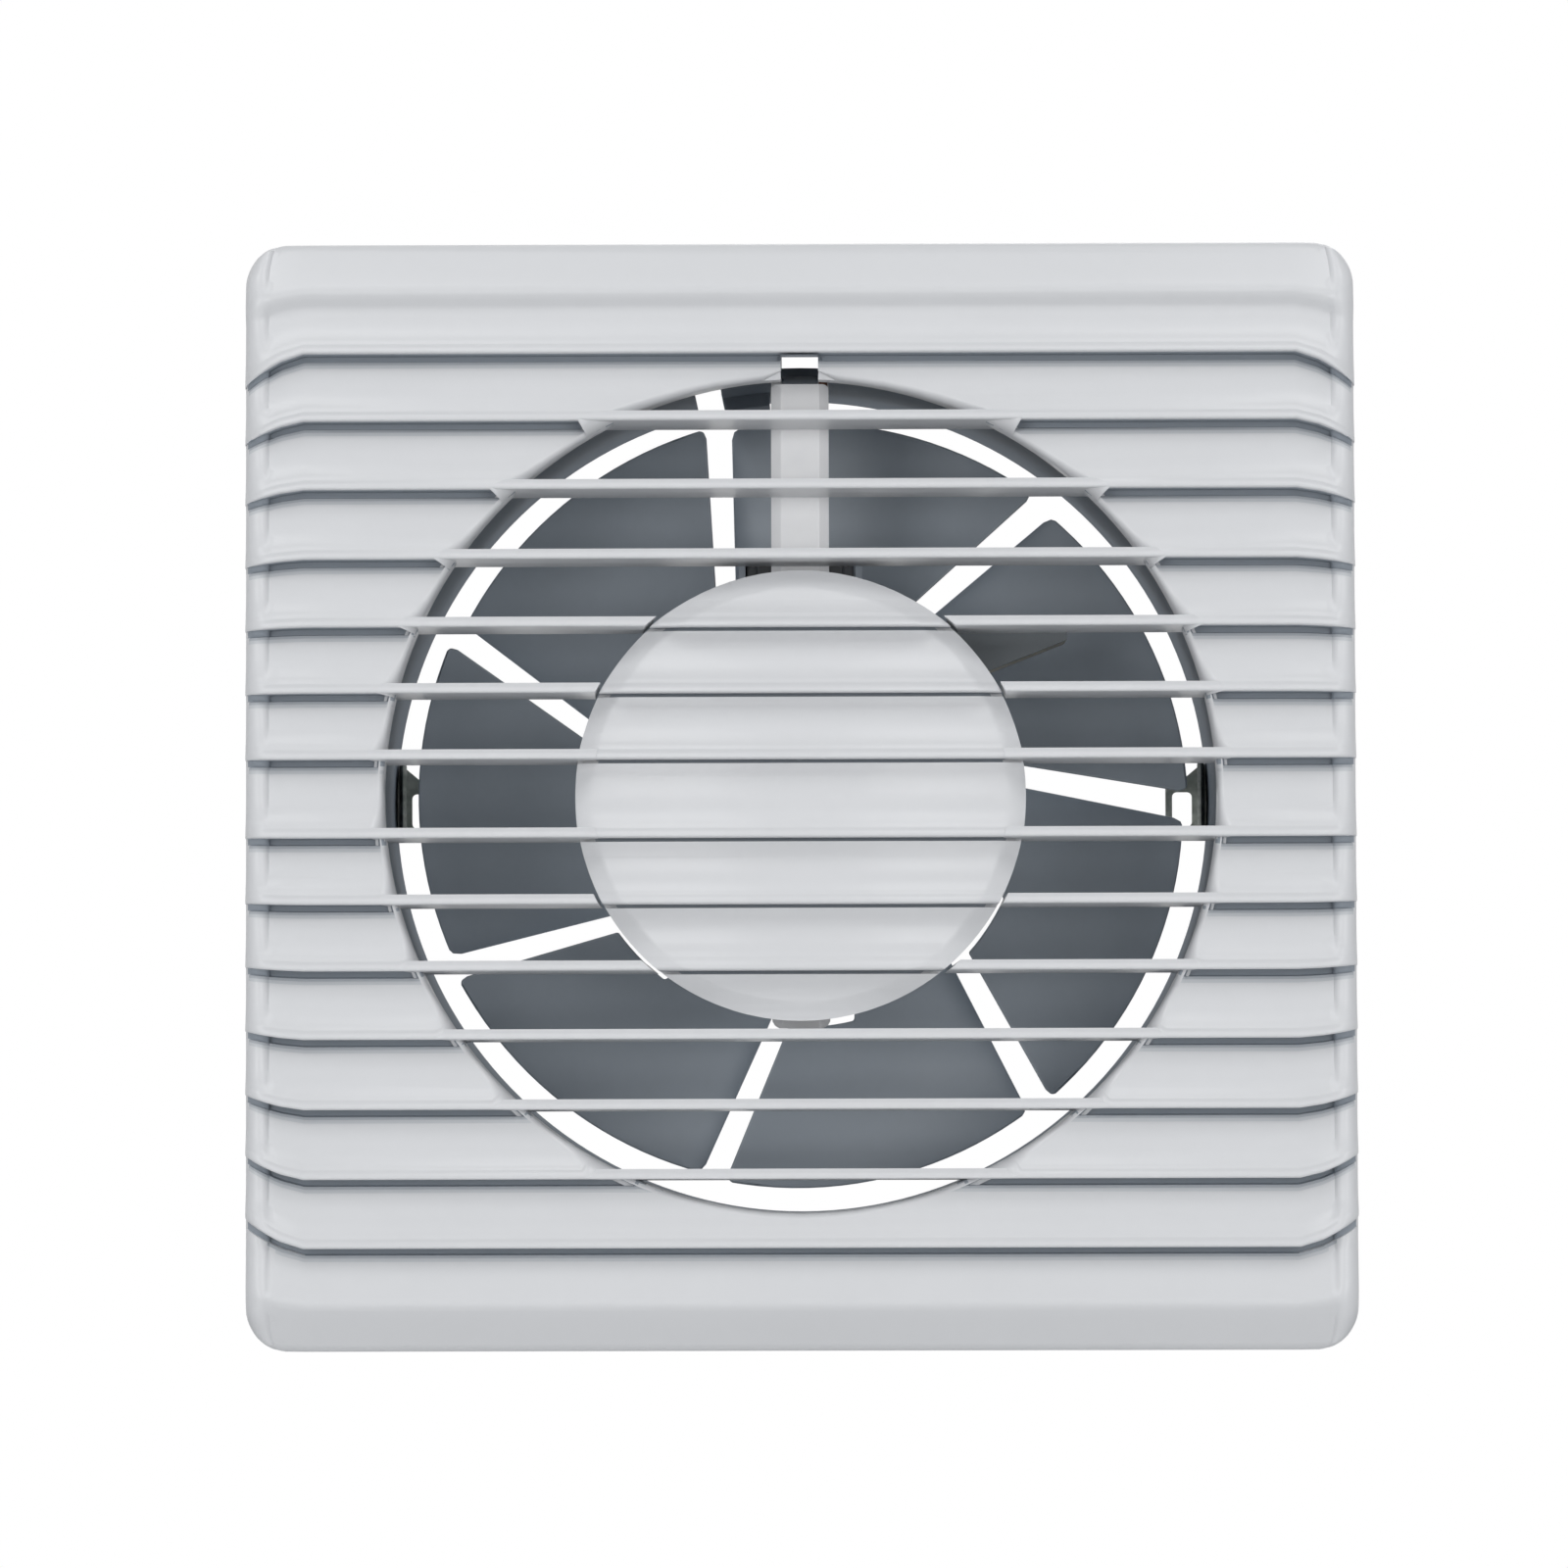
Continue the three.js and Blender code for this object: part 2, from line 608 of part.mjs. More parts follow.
/** Makes the raised land inside the duct's rear, beside the arm. */
function makeLand() {
  const back = DUCT_LENGTH - DUCT_WALL / 2;
  const ring = tube(DUCT_INNER - DUCT_LAND_HEIGHT, DUCT_INNER + DUCT_WALL / 2, back - DUCT_LAND_LENGTH, back,
    DUCT_SIDES);
  const corners = DUCT_LAND_ANGLES.map((degrees) => {
    const angle = THREE.MathUtils.degToRad(degrees);
    return [2 * DUCT_OUTER * Math.cos(angle), 2 * DUCT_OUTER * Math.sin(angle)];
  });
  return ring.intersect(prismY(flatShape([[0, 0], ...corners]), 0, DUCT_LENGTH));
}

/** Makes the stiffening gussets between the collar and the plate. */
function makeGussets() {
  const side = flatShape([
    [PLATE_FRONT + 0.5, DUCT_OUTER + GUSSET_REACH],
    [PLATE_FRONT + 0.5, DUCT_OUTER - DUCT_WALL / 2],
    [PLATE_FRONT - GUSSET_HEIGHT, DUCT_OUTER - DUCT_WALL / 2],
  ]);
  const gusset = prismX(side, -GUSSET_WIDTH / 2, GUSSET_WIDTH / 2);
  const angles = [45, 90, 135, 180, 225, 270, 315];
  return join(...angles.map((angle) => turned(gusset, angle)));
}

/** Makes everything that is cut from the wall plate and duct. */
function housingCuts() {
  const half = CABLE_SLOT_WIDTH / 2;
  const slot = box(-half, half, COLLAR_FRONT - 1, 1, DUCT_OUTER, SLOT_TOP);
  const notch = box(-half, half, COLLAR_FRONT - 1, PLATE_FRONT, DUCT_INNER - 1, SLOT_TOP);
  const leadHalf = ARM_WIDTH / 2;
  const leadFront = ARM_BACK + SEAT_GAP;
  const leadPass = box(0, leadHalf, leadFront, leadFront + 5, DUCT_INNER - 1, DUCT_OUTER + 1);
  const place = WALL_SCREW_PLACE;
  const corners = [[place, place], [-place, place], [-place, -place], [place, -place]];
  const holes = corners.map((corner) => rod(WALL_SCREW_RADIUS, PLATE_FRONT - 1, 1, SCREW_SIDES, corner));
  const tongueInner = HALF - COVER_WALL - TONGUE_THICKNESS - LUG_GAP;
  const tongueHalf = TONGUE_WIDTH / 2 + LUG_GAP;
  const tongues = [-TONGUE_OFFSET, TONGUE_OFFSET].flatMap((x) => [
    box(x - tongueHalf, x + tongueHalf, PLATE_FRONT - 1, 1, tongueInner, HALF),
    box(x - tongueHalf, x + tongueHalf, PLATE_FRONT - 1, 1, -HALF, -tongueInner),
  ]);
  const lugInner = half - LUG_GAP;
  const lugWindows = [-1, 1].map((side) => {
    const limits = [side * lugInner, side * (leadHalf + LUG_GAP)].sort((a, b) => a - b);
    return box(...limits, SEAT_GAP, ARM_LUG_LENGTH + 3 * SEAT_GAP, DUCT_INNER - 1, DUCT_OUTER + 1);
  });
  const ductNotch = turned(box(DUCT_INNER - 1, DUCT_OUTER + DUCT_RIB_HEIGHT + 1, DUCT_NOTCH_FRONT,
    DUCT_LENGTH + 1, -DUCT_NOTCH_WIDTH / 2, DUCT_NOTCH_WIDTH / 2), DUCT_NOTCH_ANGLE);
  return join(slot, notch, leadPass, ductNotch, ...holes, ...tongues, ...lugWindows);
}

/** Makes the wall plate with its duct. */
function makeHousing() {
  const corner = FACE_CORNER - COVER_WALL;
  const hole = circlePoints((DUCT_INNER + DUCT_OUTER) / 2, DUCT_SIDES);
  const plate = prismY(flatShape(roundedPoints(PLATE_HALF, PLATE_HALF, corner), [hole]), PLATE_FRONT, 0);
  const rimShape = flatShape(
    roundedPoints(RIM_OUTER, RIM_OUTER, corner),
    [roundedPoints(RIM_INNER, RIM_INNER, corner - PLATE_RIM_WALL)],
  );
  const rim = prismY(rimShape, PLATE_FRONT - PLATE_RIM_HEIGHT, PLATE_FRONT + 0.5);
  const inside = rod(DUCT_INNER, COLLAR_FRONT - 1, DUCT_LENGTH + 1, DUCT_SIDES);
  const body = join(plate, rim, makeDuct(), makeGussets()).subtract(inside);
  return body.subtract(housingCuts()).add(makeLand());
}

// ---------------------------------------------------------------- motor arm

/** Makes the strut that carries the motor. */
function makeArm() {
  const half = ARM_WIDTH / 2;
  const top = Math.sqrt(INLET_RADIUS ** 2 - half ** 2) + SEAT_GAP;
  const flat = half - ARM_CHAMFER;
  const strip = prismZ(flatShape([
    [-half, ARM_BACK], [half, ARM_BACK],
    [half, ARM_FRONT + ARM_CHAMFER], [flat, ARM_FRONT],
    [-flat, ARM_FRONT], [-half, ARM_FRONT + ARM_CHAMFER],
  ]), ARM_LOWER_END, top);
  const web = box(-ARM_WEB / 2, ARM_WEB / 2, ARM_BACK - 1, ARM_BACK + ARM_WEB_DEPTH, COIL_TOP + 2, top);
  const ringHole = BRACKET_BOSS_RADIUS + LUG_GAP;
  const ring = rod(ringHole + ARM_RING_WALL, ARM_FRONT + 1, ARM_BACK, PIN_SIDES);
  const earReach = MOTOR_SCREW_OFFSET + SCREW_HEAD_RADIUS + LUG_GAP;
  const ears = box(-earReach, earReach, ARM_BACK - ARM_EAR_THICKNESS, ARM_BACK,
    -ARM_EAR_HEIGHT / 2, ARM_EAR_HEIGHT / 2);
  const foot = box(-half, half, ARM_BACK - 1, ARM_BACK + ARM_FOOT_LENGTH, top - ARM_FOOT_THICKNESS, top);
  const slotHalf = CABLE_SLOT_WIDTH / 2;
  const seat = Math.sqrt(DUCT_INNER ** 2 - half ** 2) - SEAT_GAP;
  const lugs = [-1, 1].flatMap((side) => {
    const limits = [side * slotHalf, side * half].sort((a, b) => a - b);
    return [
      box(...limits, -ARM_LUG_LENGTH, ARM_LUG_LENGTH + SEAT_GAP, top - 1, seat),
      box(...limits, 2 * SEAT_GAP, ARM_LUG_LENGTH + SEAT_GAP, top - 1, DUCT_OUTER - SEAT_GAP),
    ];
  });
  const solid = join(strip, web, ring, ears, foot, ...lugs);
  const bore = rod(ringHole, ARM_FRONT - 1, ARM_BACK + 1, PIN_SIDES);
  const screwHoles = [-1, 1].map((side) =>
    rod(MOTOR_SCREW_RADIUS + LUG_GAP, ARM_FRONT, 0, SCREW_SIDES, [side * MOTOR_SCREW_OFFSET, 0]));
  const leadFront = ARM_BACK + SEAT_GAP;
  const leadPass = box(ARM_WEB / 2 + SEAT_GAP, half + 1, leadFront, leadFront + 4.2, COIL_TOP, top + 2);
  return solid.subtract(join(bore, leadPass, ...screwHoles));
}

// ---------------------------------------------------------------- motor

/** Makes a bar along Y in a notch of the bore, at an angle from +X. */
function boreBar(degrees, front, back, grow) {
  const half = SHADING_BAR / 2 + grow;
  const inner = BORE_RADIUS + ROTOR_GAP - grow;
  const bar = box(inner, inner + SHADING_BAR + 2 * grow, front, back, -half, half);
  return turned(bar, degrees);
}

/** Makes one shading ring: two bars in the notches and two across the core's faces. */
function makeShadingRing() {
  const front = CORE_FRONT - SEAT_GAP - SHADING_BAR;
  const back = CORE_BACK + SEAT_GAP + SHADING_BAR;
  const bars = SHADING_ANGLES.map((angle) => boreBar(angle, front, back, 0));
  const [start, end] = SHADING_ANGLES.map(THREE.MathUtils.degToRad);
  const middle = BORE_RADIUS + ROTOR_GAP + SHADING_BAR / 2;
  const half = SHADING_BAR / 2;
  const line = [[start, -half], [end, -half], [end, half], [start, half]].map(([angle, offset]) =>
    [(middle + offset) * Math.cos(angle), (middle + offset) * Math.sin(angle)]);
  const link = flatShape(line);
  return join(...bars, prismY(link, front, front + SHADING_BAR), prismY(link, back - SHADING_BAR, back));
}

/** Makes the laminated core, with its tapered foot at the upper right. */
function makeCore() {
  const shoulderShare = (FOOT_TOP - CORE_SHOULDER) / (LEG_TOP - CORE_SHOULDER);
  const shoulderAtFoot = CORE_HALF_WIDTH + (CORE_TOP_HALF - CORE_HALF_WIDTH) * shoulderShare;
  const outline = flatShape([
    [-CORE_HALF_WIDTH, CORE_BOTTOM], [CORE_HALF_WIDTH, CORE_BOTTOM],
    [CORE_HALF_WIDTH, FOOT_ROOT_BOTTOM],
    [CORE_HALF_WIDTH + FOOT_REACH, FOOT_TIP_BOTTOM],
    [CORE_HALF_WIDTH + FOOT_REACH, FOOT_TOP],
    [shoulderAtFoot, FOOT_TOP],
    [CORE_TOP_HALF, LEG_TOP], [-CORE_TOP_HALF, LEG_TOP],
    [-CORE_HALF_WIDTH, CORE_SHOULDER],
  ], [
    rectanglePoints(-WINDOW_HALF_WIDTH, WINDOW_HALF_WIDTH, BORE_RADIUS + BRIDGE, LEG_BOTTOM),
    circlePoints(BORE_RADIUS, PIN_SIDES),
  ]);
  const slot = box(-3, 3, CORE_FRONT - 1, CORE_BACK + 1, CORE_BOTTOM - 1, -BORE_RADIUS - BRIDGE);
  const holes = [-1, 1].map((side) =>
    rod(MOTOR_SCREW_RADIUS + LUG_GAP, CORE_FRONT - 1, CORE_BACK + 1, SCREW_SIDES,
      [side * MOTOR_SCREW_OFFSET, 0]));
  const notches = SHADING_ANGLES.flatMap((angle) => [angle, angle + 180]).map((angle) =>
    boreBar(angle, CORE_FRONT - 1, CORE_BACK + 1, SEAT_GAP));
  const mouths = SHADING_ANGLES.flatMap((angle) => [angle, angle + 180]).map((angle) =>
    turned(box(BORE_RADIUS - 1, BORE_RADIUS + 1, CORE_FRONT - 1, CORE_BACK + 1, -0.5, 0.5), angle));
  return prismY(outline, CORE_FRONT, CORE_BACK).subtract(join(slot, ...holes, ...notches, ...mouths));
}

/** Lists a y-z rectangle round the coil's leg, grown by a margin. */
function roundLeg(margin) {
  return rectanglePoints(CORE_FRONT - margin, CORE_BACK + margin, LEG_BOTTOM - margin, LEG_TOP + margin);
}

/** Makes the bobbin: a square tube with a flange at each end. */
function makeBobbin() {
  const bore = roundLeg(SEAT_GAP);
  const body = flatShape(roundLeg(SEAT_GAP + BOBBIN_WALL), [bore]);
  const flange = flatShape(roundLeg(COIL_BUILD), [bore]);
  const inner = COIL_HALF_WIDTH - BOBBIN_FLANGE;
  return join(
    prismX(body, -COIL_HALF_WIDTH, COIL_HALF_WIDTH),
    prismX(flange, -COIL_HALF_WIDTH, -inner),
    prismX(flange, inner, COIL_HALF_WIDTH),
  );
}

/** Makes the taped coil between the bobbin's flanges. */
function makeCoil() {
  const inner = roundLeg(2 * SEAT_GAP + BOBBIN_WALL);
  const outer = COIL_BUILD - 2 * SEAT_GAP;
  const halfDepth = CORE_THICKNESS / 2 + outer;
  const halfHeight = LEG_HEIGHT / 2 + outer;
  const middle = [CORE_MIDDLE, (LEG_BOTTOM + LEG_TOP) / 2];
  const around = roundedPoints(halfDepth, halfHeight, outer * 0.6, 4)
    .map(([y, z]) => [y + middle[0], z + middle[1]]);
  const reach = COIL_HALF_WIDTH - BOBBIN_FLANGE - SEAT_GAP;
  return prismX(flatShape(around, [inner]), -reach, reach);
}

/** Makes a bearing bracket that faces the front: pads on the core, strap and boss. */
function makeBracket() {
  const back = CORE_FRONT - SEAT_GAP;
  const front = back - BRACKET_STANDOFF;
  const half = BRACKET_HEIGHT / 2;
  const strap = box(-BRACKET_REACH, BRACKET_REACH, front, front + BRACKET_STRAP, -half, half);
  const pads = [-1, 1].map((side) => {
    const limits = [side * (BRACKET_REACH - BRACKET_PAD), side * BRACKET_REACH].sort((a, b) => a - b);
    return box(...limits, front, back, -half, half);
  });
  const boss = rod(BRACKET_BOSS_RADIUS, back - BRACKET_BOSS_LENGTH, front + BRACKET_STRAP, PIN_SIDES);
  const bore = rod(BEARING_RADIUS + SEAT_GAP / 2, back - BRACKET_BOSS_LENGTH - 1, 1, PIN_SIDES);
  const holes = [-1, 1].map((side) =>
    rod(MOTOR_SCREW_RADIUS + LUG_GAP, front - 1, back + 1, SCREW_SIDES, [side * MOTOR_SCREW_OFFSET, 0]));
  return join(strap, ...pads, boss).subtract(join(bore, ...holes));
}

/** Makes a bearing bush, centred on its own middle. */
function makeBearing() {
  return tube(SHAFT_RADIUS + RUNNING_GAP, BEARING_RADIUS, -BEARING_LENGTH / 2, BEARING_LENGTH / 2, PIN_SIDES);
}

/** Makes a thrust washer whose front face is at Y = 0. */
function makeWasher() {
  return tube(SHAFT_RADIUS + RUNNING_GAP, WASHER_RADIUS, 0, WASHER_THICKNESS, PIN_SIDES);
}

/** Makes the squirrel-cage rotor. */
function makeRotor() {
  const radius = BORE_RADIUS - ROTOR_GAP;
  return tube(SHAFT_RADIUS + RUNNING_GAP, radius, CORE_FRONT + 0.3, CORE_BACK - 0.3, PIN_SIDES);
}

/** Makes a slotted screw whose head's underside is at Y = 0 and whose shank runs along +Y. */
function makeScrew(radius, headRadius, headHeight, length) {
  const head = rod(headRadius, -headHeight, 0, SCREW_SIDES);
  const shank = rod(radius, -headHeight / 2, length, SCREW_SIDES);
  const slot = box(-headRadius, headRadius, -headHeight - 1, -headHeight * 0.6, -radius / 4, radius / 4);
  return head.add(shank).subtract(slot);
}

/** Makes a hexagon nut whose front face is at Y = 0. */
function makeNut() {
  return prismY(flatShape(circlePoints(NUT_RADIUS, 6), [
    circlePoints(MOTOR_SCREW_RADIUS + RUNNING_GAP, SCREW_SIDES),
  ]), 0, NUT_HEIGHT);
}

// ---------------------------------------------------------------- impeller

/** Gives the angle in degrees at which a straight swept edge crosses a radius. */
function edgeAngle(offset, radius) {
  return BLADE_PHASE + THREE.MathUtils.radToDeg(Math.asin(offset / radius));
}

/** Makes one blade: a helical plate whose leading part stands clear of the hub. */
function makeBlade() {
  const between = (low, high, share) => low + (high - low) * share;
  const radii = [
    HUB_RADIUS - HUB_WALL / 2, between(HUB_RADIUS, BLADE_INNER_RADIUS, 0.45), BLADE_INNER_RADIUS,
    between(BLADE_INNER_RADIUS, BLADE_TIP_RADIUS, 0.35), between(BLADE_INNER_RADIUS, BLADE_TIP_RADIUS, 0.67),
    BLADE_TIP_RADIUS - 1.2, BLADE_TIP_RADIUS,
  ];
  const shares = [0, 0.03, BLADE_NECK_SHARE / 2, BLADE_NECK_SHARE, 0.53, 0.7, 0.85, 0.97, 1];
  const pitch = 360 / BLADE_COUNT;
  const lead = edgeAngle(BLADE_LEADING_OFFSET, BLADE_TIP_RADIUS);
  const place = (radius, share, behind) => {
    const isTip = radius === BLADE_TIP_RADIUS;
    const kept = isTip ? THREE.MathUtils.clamp(share, 0.03, 0.97) : share;
    const start = edgeAngle(BLADE_LEADING_OFFSET, radius);
    const end = edgeAngle(BLADE_TRAILING_OFFSET, radius) + pitch;
    const degrees = start + (end - start) * kept;
    const angle = THREE.MathUtils.degToRad(degrees);
    const camber = BLADE_CAMBER * 4 * kept * (1 - kept);
    const back = BLADE_FRONT + BLADE_RISE_PER_DEGREE * (degrees - lead) + camber + behind;
    return [radius * Math.cos(angle), back, radius * Math.sin(angle)];
  };
  const grid = (behind) => radii.map((radius) =>
    shares.map((share, column) => {
      const edgeShift = radius === BLADE_TIP_RADIUS ? 0.002 * (column - shares.length / 2) : 0;
      return place(radius, share + edgeShift, behind);
    }));
  const isBlade = (row, column) => radii[row] >= BLADE_INNER_RADIUS || shares[column] >= BLADE_NECK_SHARE;
  return gridSolid(grid(0), grid(BLADE_THICKNESS), isBlade);
}

/** Makes the impeller. */
function makeImpeller() {
  const shell = tube(HUB_RADIUS - HUB_WALL, HUB_RADIUS, HUB_FRONT, HUB_BACK, HUB_SIDES);
  const bore = SHAFT_RADIUS + RUNNING_GAP;
  const floor = tube(bore, HUB_RADIUS - HUB_WALL / 2, HUB_BACK - HUB_WALL, HUB_BACK, HUB_SIDES);
  const boss = rod(HUB_BOSS_RADIUS, HUB_BACK - HUB_BOSS_LENGTH, HUB_BACK, PIN_SIDES)
    .subtract(rod(bore, HUB_FRONT, HUB_BACK + 1, PIN_SIDES));
  const cavity = rod(HUB_RADIUS - HUB_WALL, HUB_FRONT - 1, HUB_BACK - HUB_WALL, HUB_SIDES);
  const blade = makeBlade();
  const blades = Array.from({ length: BLADE_COUNT }, (_, index) =>
    turned(blade, (index * 360) / BLADE_COUNT));
  const rim = join(shell, ...blades).subtract(cavity);
  const axle = rod(bore, HUB_BACK - HUB_WALL - 1, HUB_BACK + 1, PIN_SIDES);
  return join(rim, floor, boss).subtract(axle);
}

// ---------------------------------------------------------------- small pieces

/** Makes a spring clip on the duct's rear rim; side is 1 at 3 o'clock and -1 at 9 o'clock. */
function makeSideClip(side) {
  const rear = DUCT_LENGTH + SEAT_GAP;
  const inner = DUCT_INNER - SIDE_CLIP_INNER;
  const outer = DUCT_OUTER + SIDE_CLIP_SPREAD;
  const flip = (points) => points.map(([x, y]) => [side * x, y]);
  const hole = inner + SIDE_CLIP_STRIP;
  const slope = SIDE_CLIP_HIGH - 2;
  const leg = prismY(flatShape(
    flip([[inner, SIDE_CLIP_LOW], [outer, SIDE_CLIP_LOW], [outer, SIDE_CLIP_HIGH],
      [DUCT_INNER - SIDE_CLIP_THICKNESS, SIDE_CLIP_HIGH], [hole + SIDE_CLIP_HOLE - 1, slope],
      [inner, slope - 1]]),
    [flip(rectanglePoints(hole, hole + SIDE_CLIP_HOLE, SIDE_CLIP_LOW + 1.2, slope - 2.2))],
  ), rear, rear + SIDE_CLIP_THICKNESS);
  const leafEnd = rear - SIDE_CLIP_LEAF;
  const leaf = prismZ(flatShape(flip([
    [outer - SIDE_CLIP_THICKNESS, rear + SIDE_CLIP_THICKNESS], [outer, rear + SIDE_CLIP_THICKNESS],
    [DUCT_OUTER + 3 * SEAT_GAP + SIDE_CLIP_THICKNESS, leafEnd], [DUCT_OUTER + 3 * SEAT_GAP, leafEnd],
  ])), SIDE_CLIP_LOW, SIDE_CLIP_HIGH);
  const hookFar = DUCT_INNER - 3 * SEAT_GAP;
  const hookLimits = [side * (hookFar - SIDE_CLIP_THICKNESS), side * hookFar].sort((a, b) => a - b);
  const hook = box(...hookLimits, rear - SIDE_CLIP_HOOK, rear + SIDE_CLIP_THICKNESS / 2,
    SIDE_CLIP_LOW, SIDE_CLIP_HIGH);
  return join(leg, leaf, hook);
}

/** Makes the terminal block, standing on Y = 0 and reaching forward. */
function makeTerminalBlock() {
  const [width, depth, height] = [TERMINAL_WIDTH, TERMINAL_DEPTH, TERMINAL_HEIGHT];
  const body = box(-width / 2, width / 2, -depth, 0, -height / 2, height / 2);
  const wells = [-1, 1].flatMap((side) => {
    const x = (side * TERMINAL_SCREW_PITCH) / 2;
    return [
      rod(SMALL_SCREW_RADIUS + 1, -depth - 1, -depth / 2, SCREW_SIDES, [x, 0]),
      box(x - 1.2, x + 1.2, -depth / 2 - 1.2, -depth / 2 + 1.2, -height, -height / 2 + ENTRY_DEPTH),
    ];
  });
  return body.subtract(join(...wells));
}

/** Makes the cable clamp: a strap that bridges the supply cable. */
function makeCableClamp() {
  const [width, depth, height] = [CLAMP_WIDTH, CLAMP_DEPTH, CLAMP_HEIGHT];
  const strap = box(-width / 2, width / 2, -depth, 0, -height / 2, height / 2);
  const channel = prismZ(flatShape(circlePoints(CABLE_SLOT_WIDTH / 2, SCREW_SIDES)), -height, height);
  const holes = [-1, 1].map((side) => rod(SMALL_SCREW_RADIUS + LUG_GAP, -depth - 1, 1, SCREW_SIDES,
    [(side * CLAMP_SCREW_PITCH) / 2, 0]));
  return strap.subtract(join(channel, ...holes));
}

/** Makes a lead from a block's entry round the collar and down behind the arm. */
function makeLead(entry, firstAngle, depth) {
  const onArc = (degrees) => {
    const angle = THREE.MathUtils.degToRad(degrees);
    return [LEAD_ROUTE_RADIUS * Math.cos(angle), depth, LEAD_ROUTE_RADIUS * Math.sin(angle)];
  };
  const entryDepth = PLATE_FRONT - SEAT_GAP - TERMINAL_DEPTH / 2;
  const blockLow = TERMINAL_Z - TERMINAL_HEIGHT / 2;
  const arc = Array.from({ length: 8 }, (_, step) => onArc(firstAngle + ((84.5 - firstAngle) * step) / 7));
  const points = [
    [entry, entryDepth, blockLow + ENTRY_DEPTH / 2],
    [entry, entryDepth + SEAT_GAP, blockLow - ENTRY_DEPTH / 2],
    ...arc,
    [LEAD_X + 0.6, depth, LEAD_ROUTE_RADIUS - 1.2],
    [LEAD_X, depth, LEAD_ROUTE_RADIUS - 4],
    [LEAD_X, depth, LEAD_ROUTE_RADIUS - 10],
    [LEAD_X, depth, COIL_TOP + 10],
    [LEAD_X, depth, COIL_TOP + SEAT_GAP],
  ];
  return wire(points, LEAD_RADIUS, 32);
}

// ---------------------------------------------------------------- assembly

/** Puts the same piece at the left and right, at an offset from the axis. */
function addPair(group, name, solid, material, place) {
  for (const [word, side] of [["left", -1], ["right", 1]]) {
    const mesh = addPart(group, `${name}_${word}`, solid, material);
    mesh.position.set(...place(side));
  }
}

/** Builds the pieces that stay on the wall. */
function buildFixedPieces() {
  const group = new THREE.Group();
  addPart(group, "housing", makeHousing(), FINISHES.ductPlastic);
  addPart(group, "motor_arm", makeArm(), FINISHES.armPlastic);
  addPart(group, "side_clip_left", makeSideClip(-1), FINISHES.steelSheet);
  addPart(group, "side_clip_right", makeSideClip(1), FINISHES.steelSheet);
  const onPlate = PLATE_FRONT - SEAT_GAP;
  const block = addPart(group, "terminal_block", makeTerminalBlock(), FINISHES.terminalPlastic);
  block.position.set(TERMINAL_X, onPlate, TERMINAL_Z);
  const wellFloor = onPlate - TERMINAL_DEPTH / 2 - SEAT_GAP;
  const terminalScrew = makeScrew(SMALL_SCREW_RADIUS, SMALL_SCREW_RADIUS + 0.5, 1.2, 0.1);
  [["neutral", -1], ["live", 1]].forEach(([word, side]) => {
    const screw = addPart(group, `terminal_screw_${word}`, terminalScrew, FINISHES.brass);
    screw.position.set(TERMINAL_X + (side * TERMINAL_SCREW_PITCH) / 2, wellFloor, TERMINAL_Z);
  });
  const clamp = addPart(group, "cable_clamp", makeCableClamp(), FINISHES.terminalPlastic);
  clamp.position.set(CLAMP_X, onPlate, CLAMP_Z);
  const clampScrew = makeScrew(SMALL_SCREW_RADIUS, SMALL_SCREW_RADIUS + 1, 1.4, CLAMP_DEPTH);
  addPair(group, "clamp_screw", clampScrew, FINISHES.brightSteel, (side) => [
    CLAMP_X + (side * CLAMP_SCREW_PITCH) / 2,
    onPlate - CLAMP_DEPTH - SEAT_GAP,
    CLAMP_Z,
  ]);
  const leadFront = ARM_BACK + 2 * SEAT_GAP + LEAD_RADIUS;
  const entries = [-1, 1].map((side) => TERMINAL_X + (side * TERMINAL_SCREW_PITCH) / 2);
  addPart(group, "lead_live", makeLead(entries[1], 51, leadFront), FINISHES.liveInsulation);
  addPart(group, "lead_neutral", makeLead(entries[0], 58, leadFront + 3 * LEAD_RADIUS),
    FINISHES.neutralInsulation);
  return group;
}

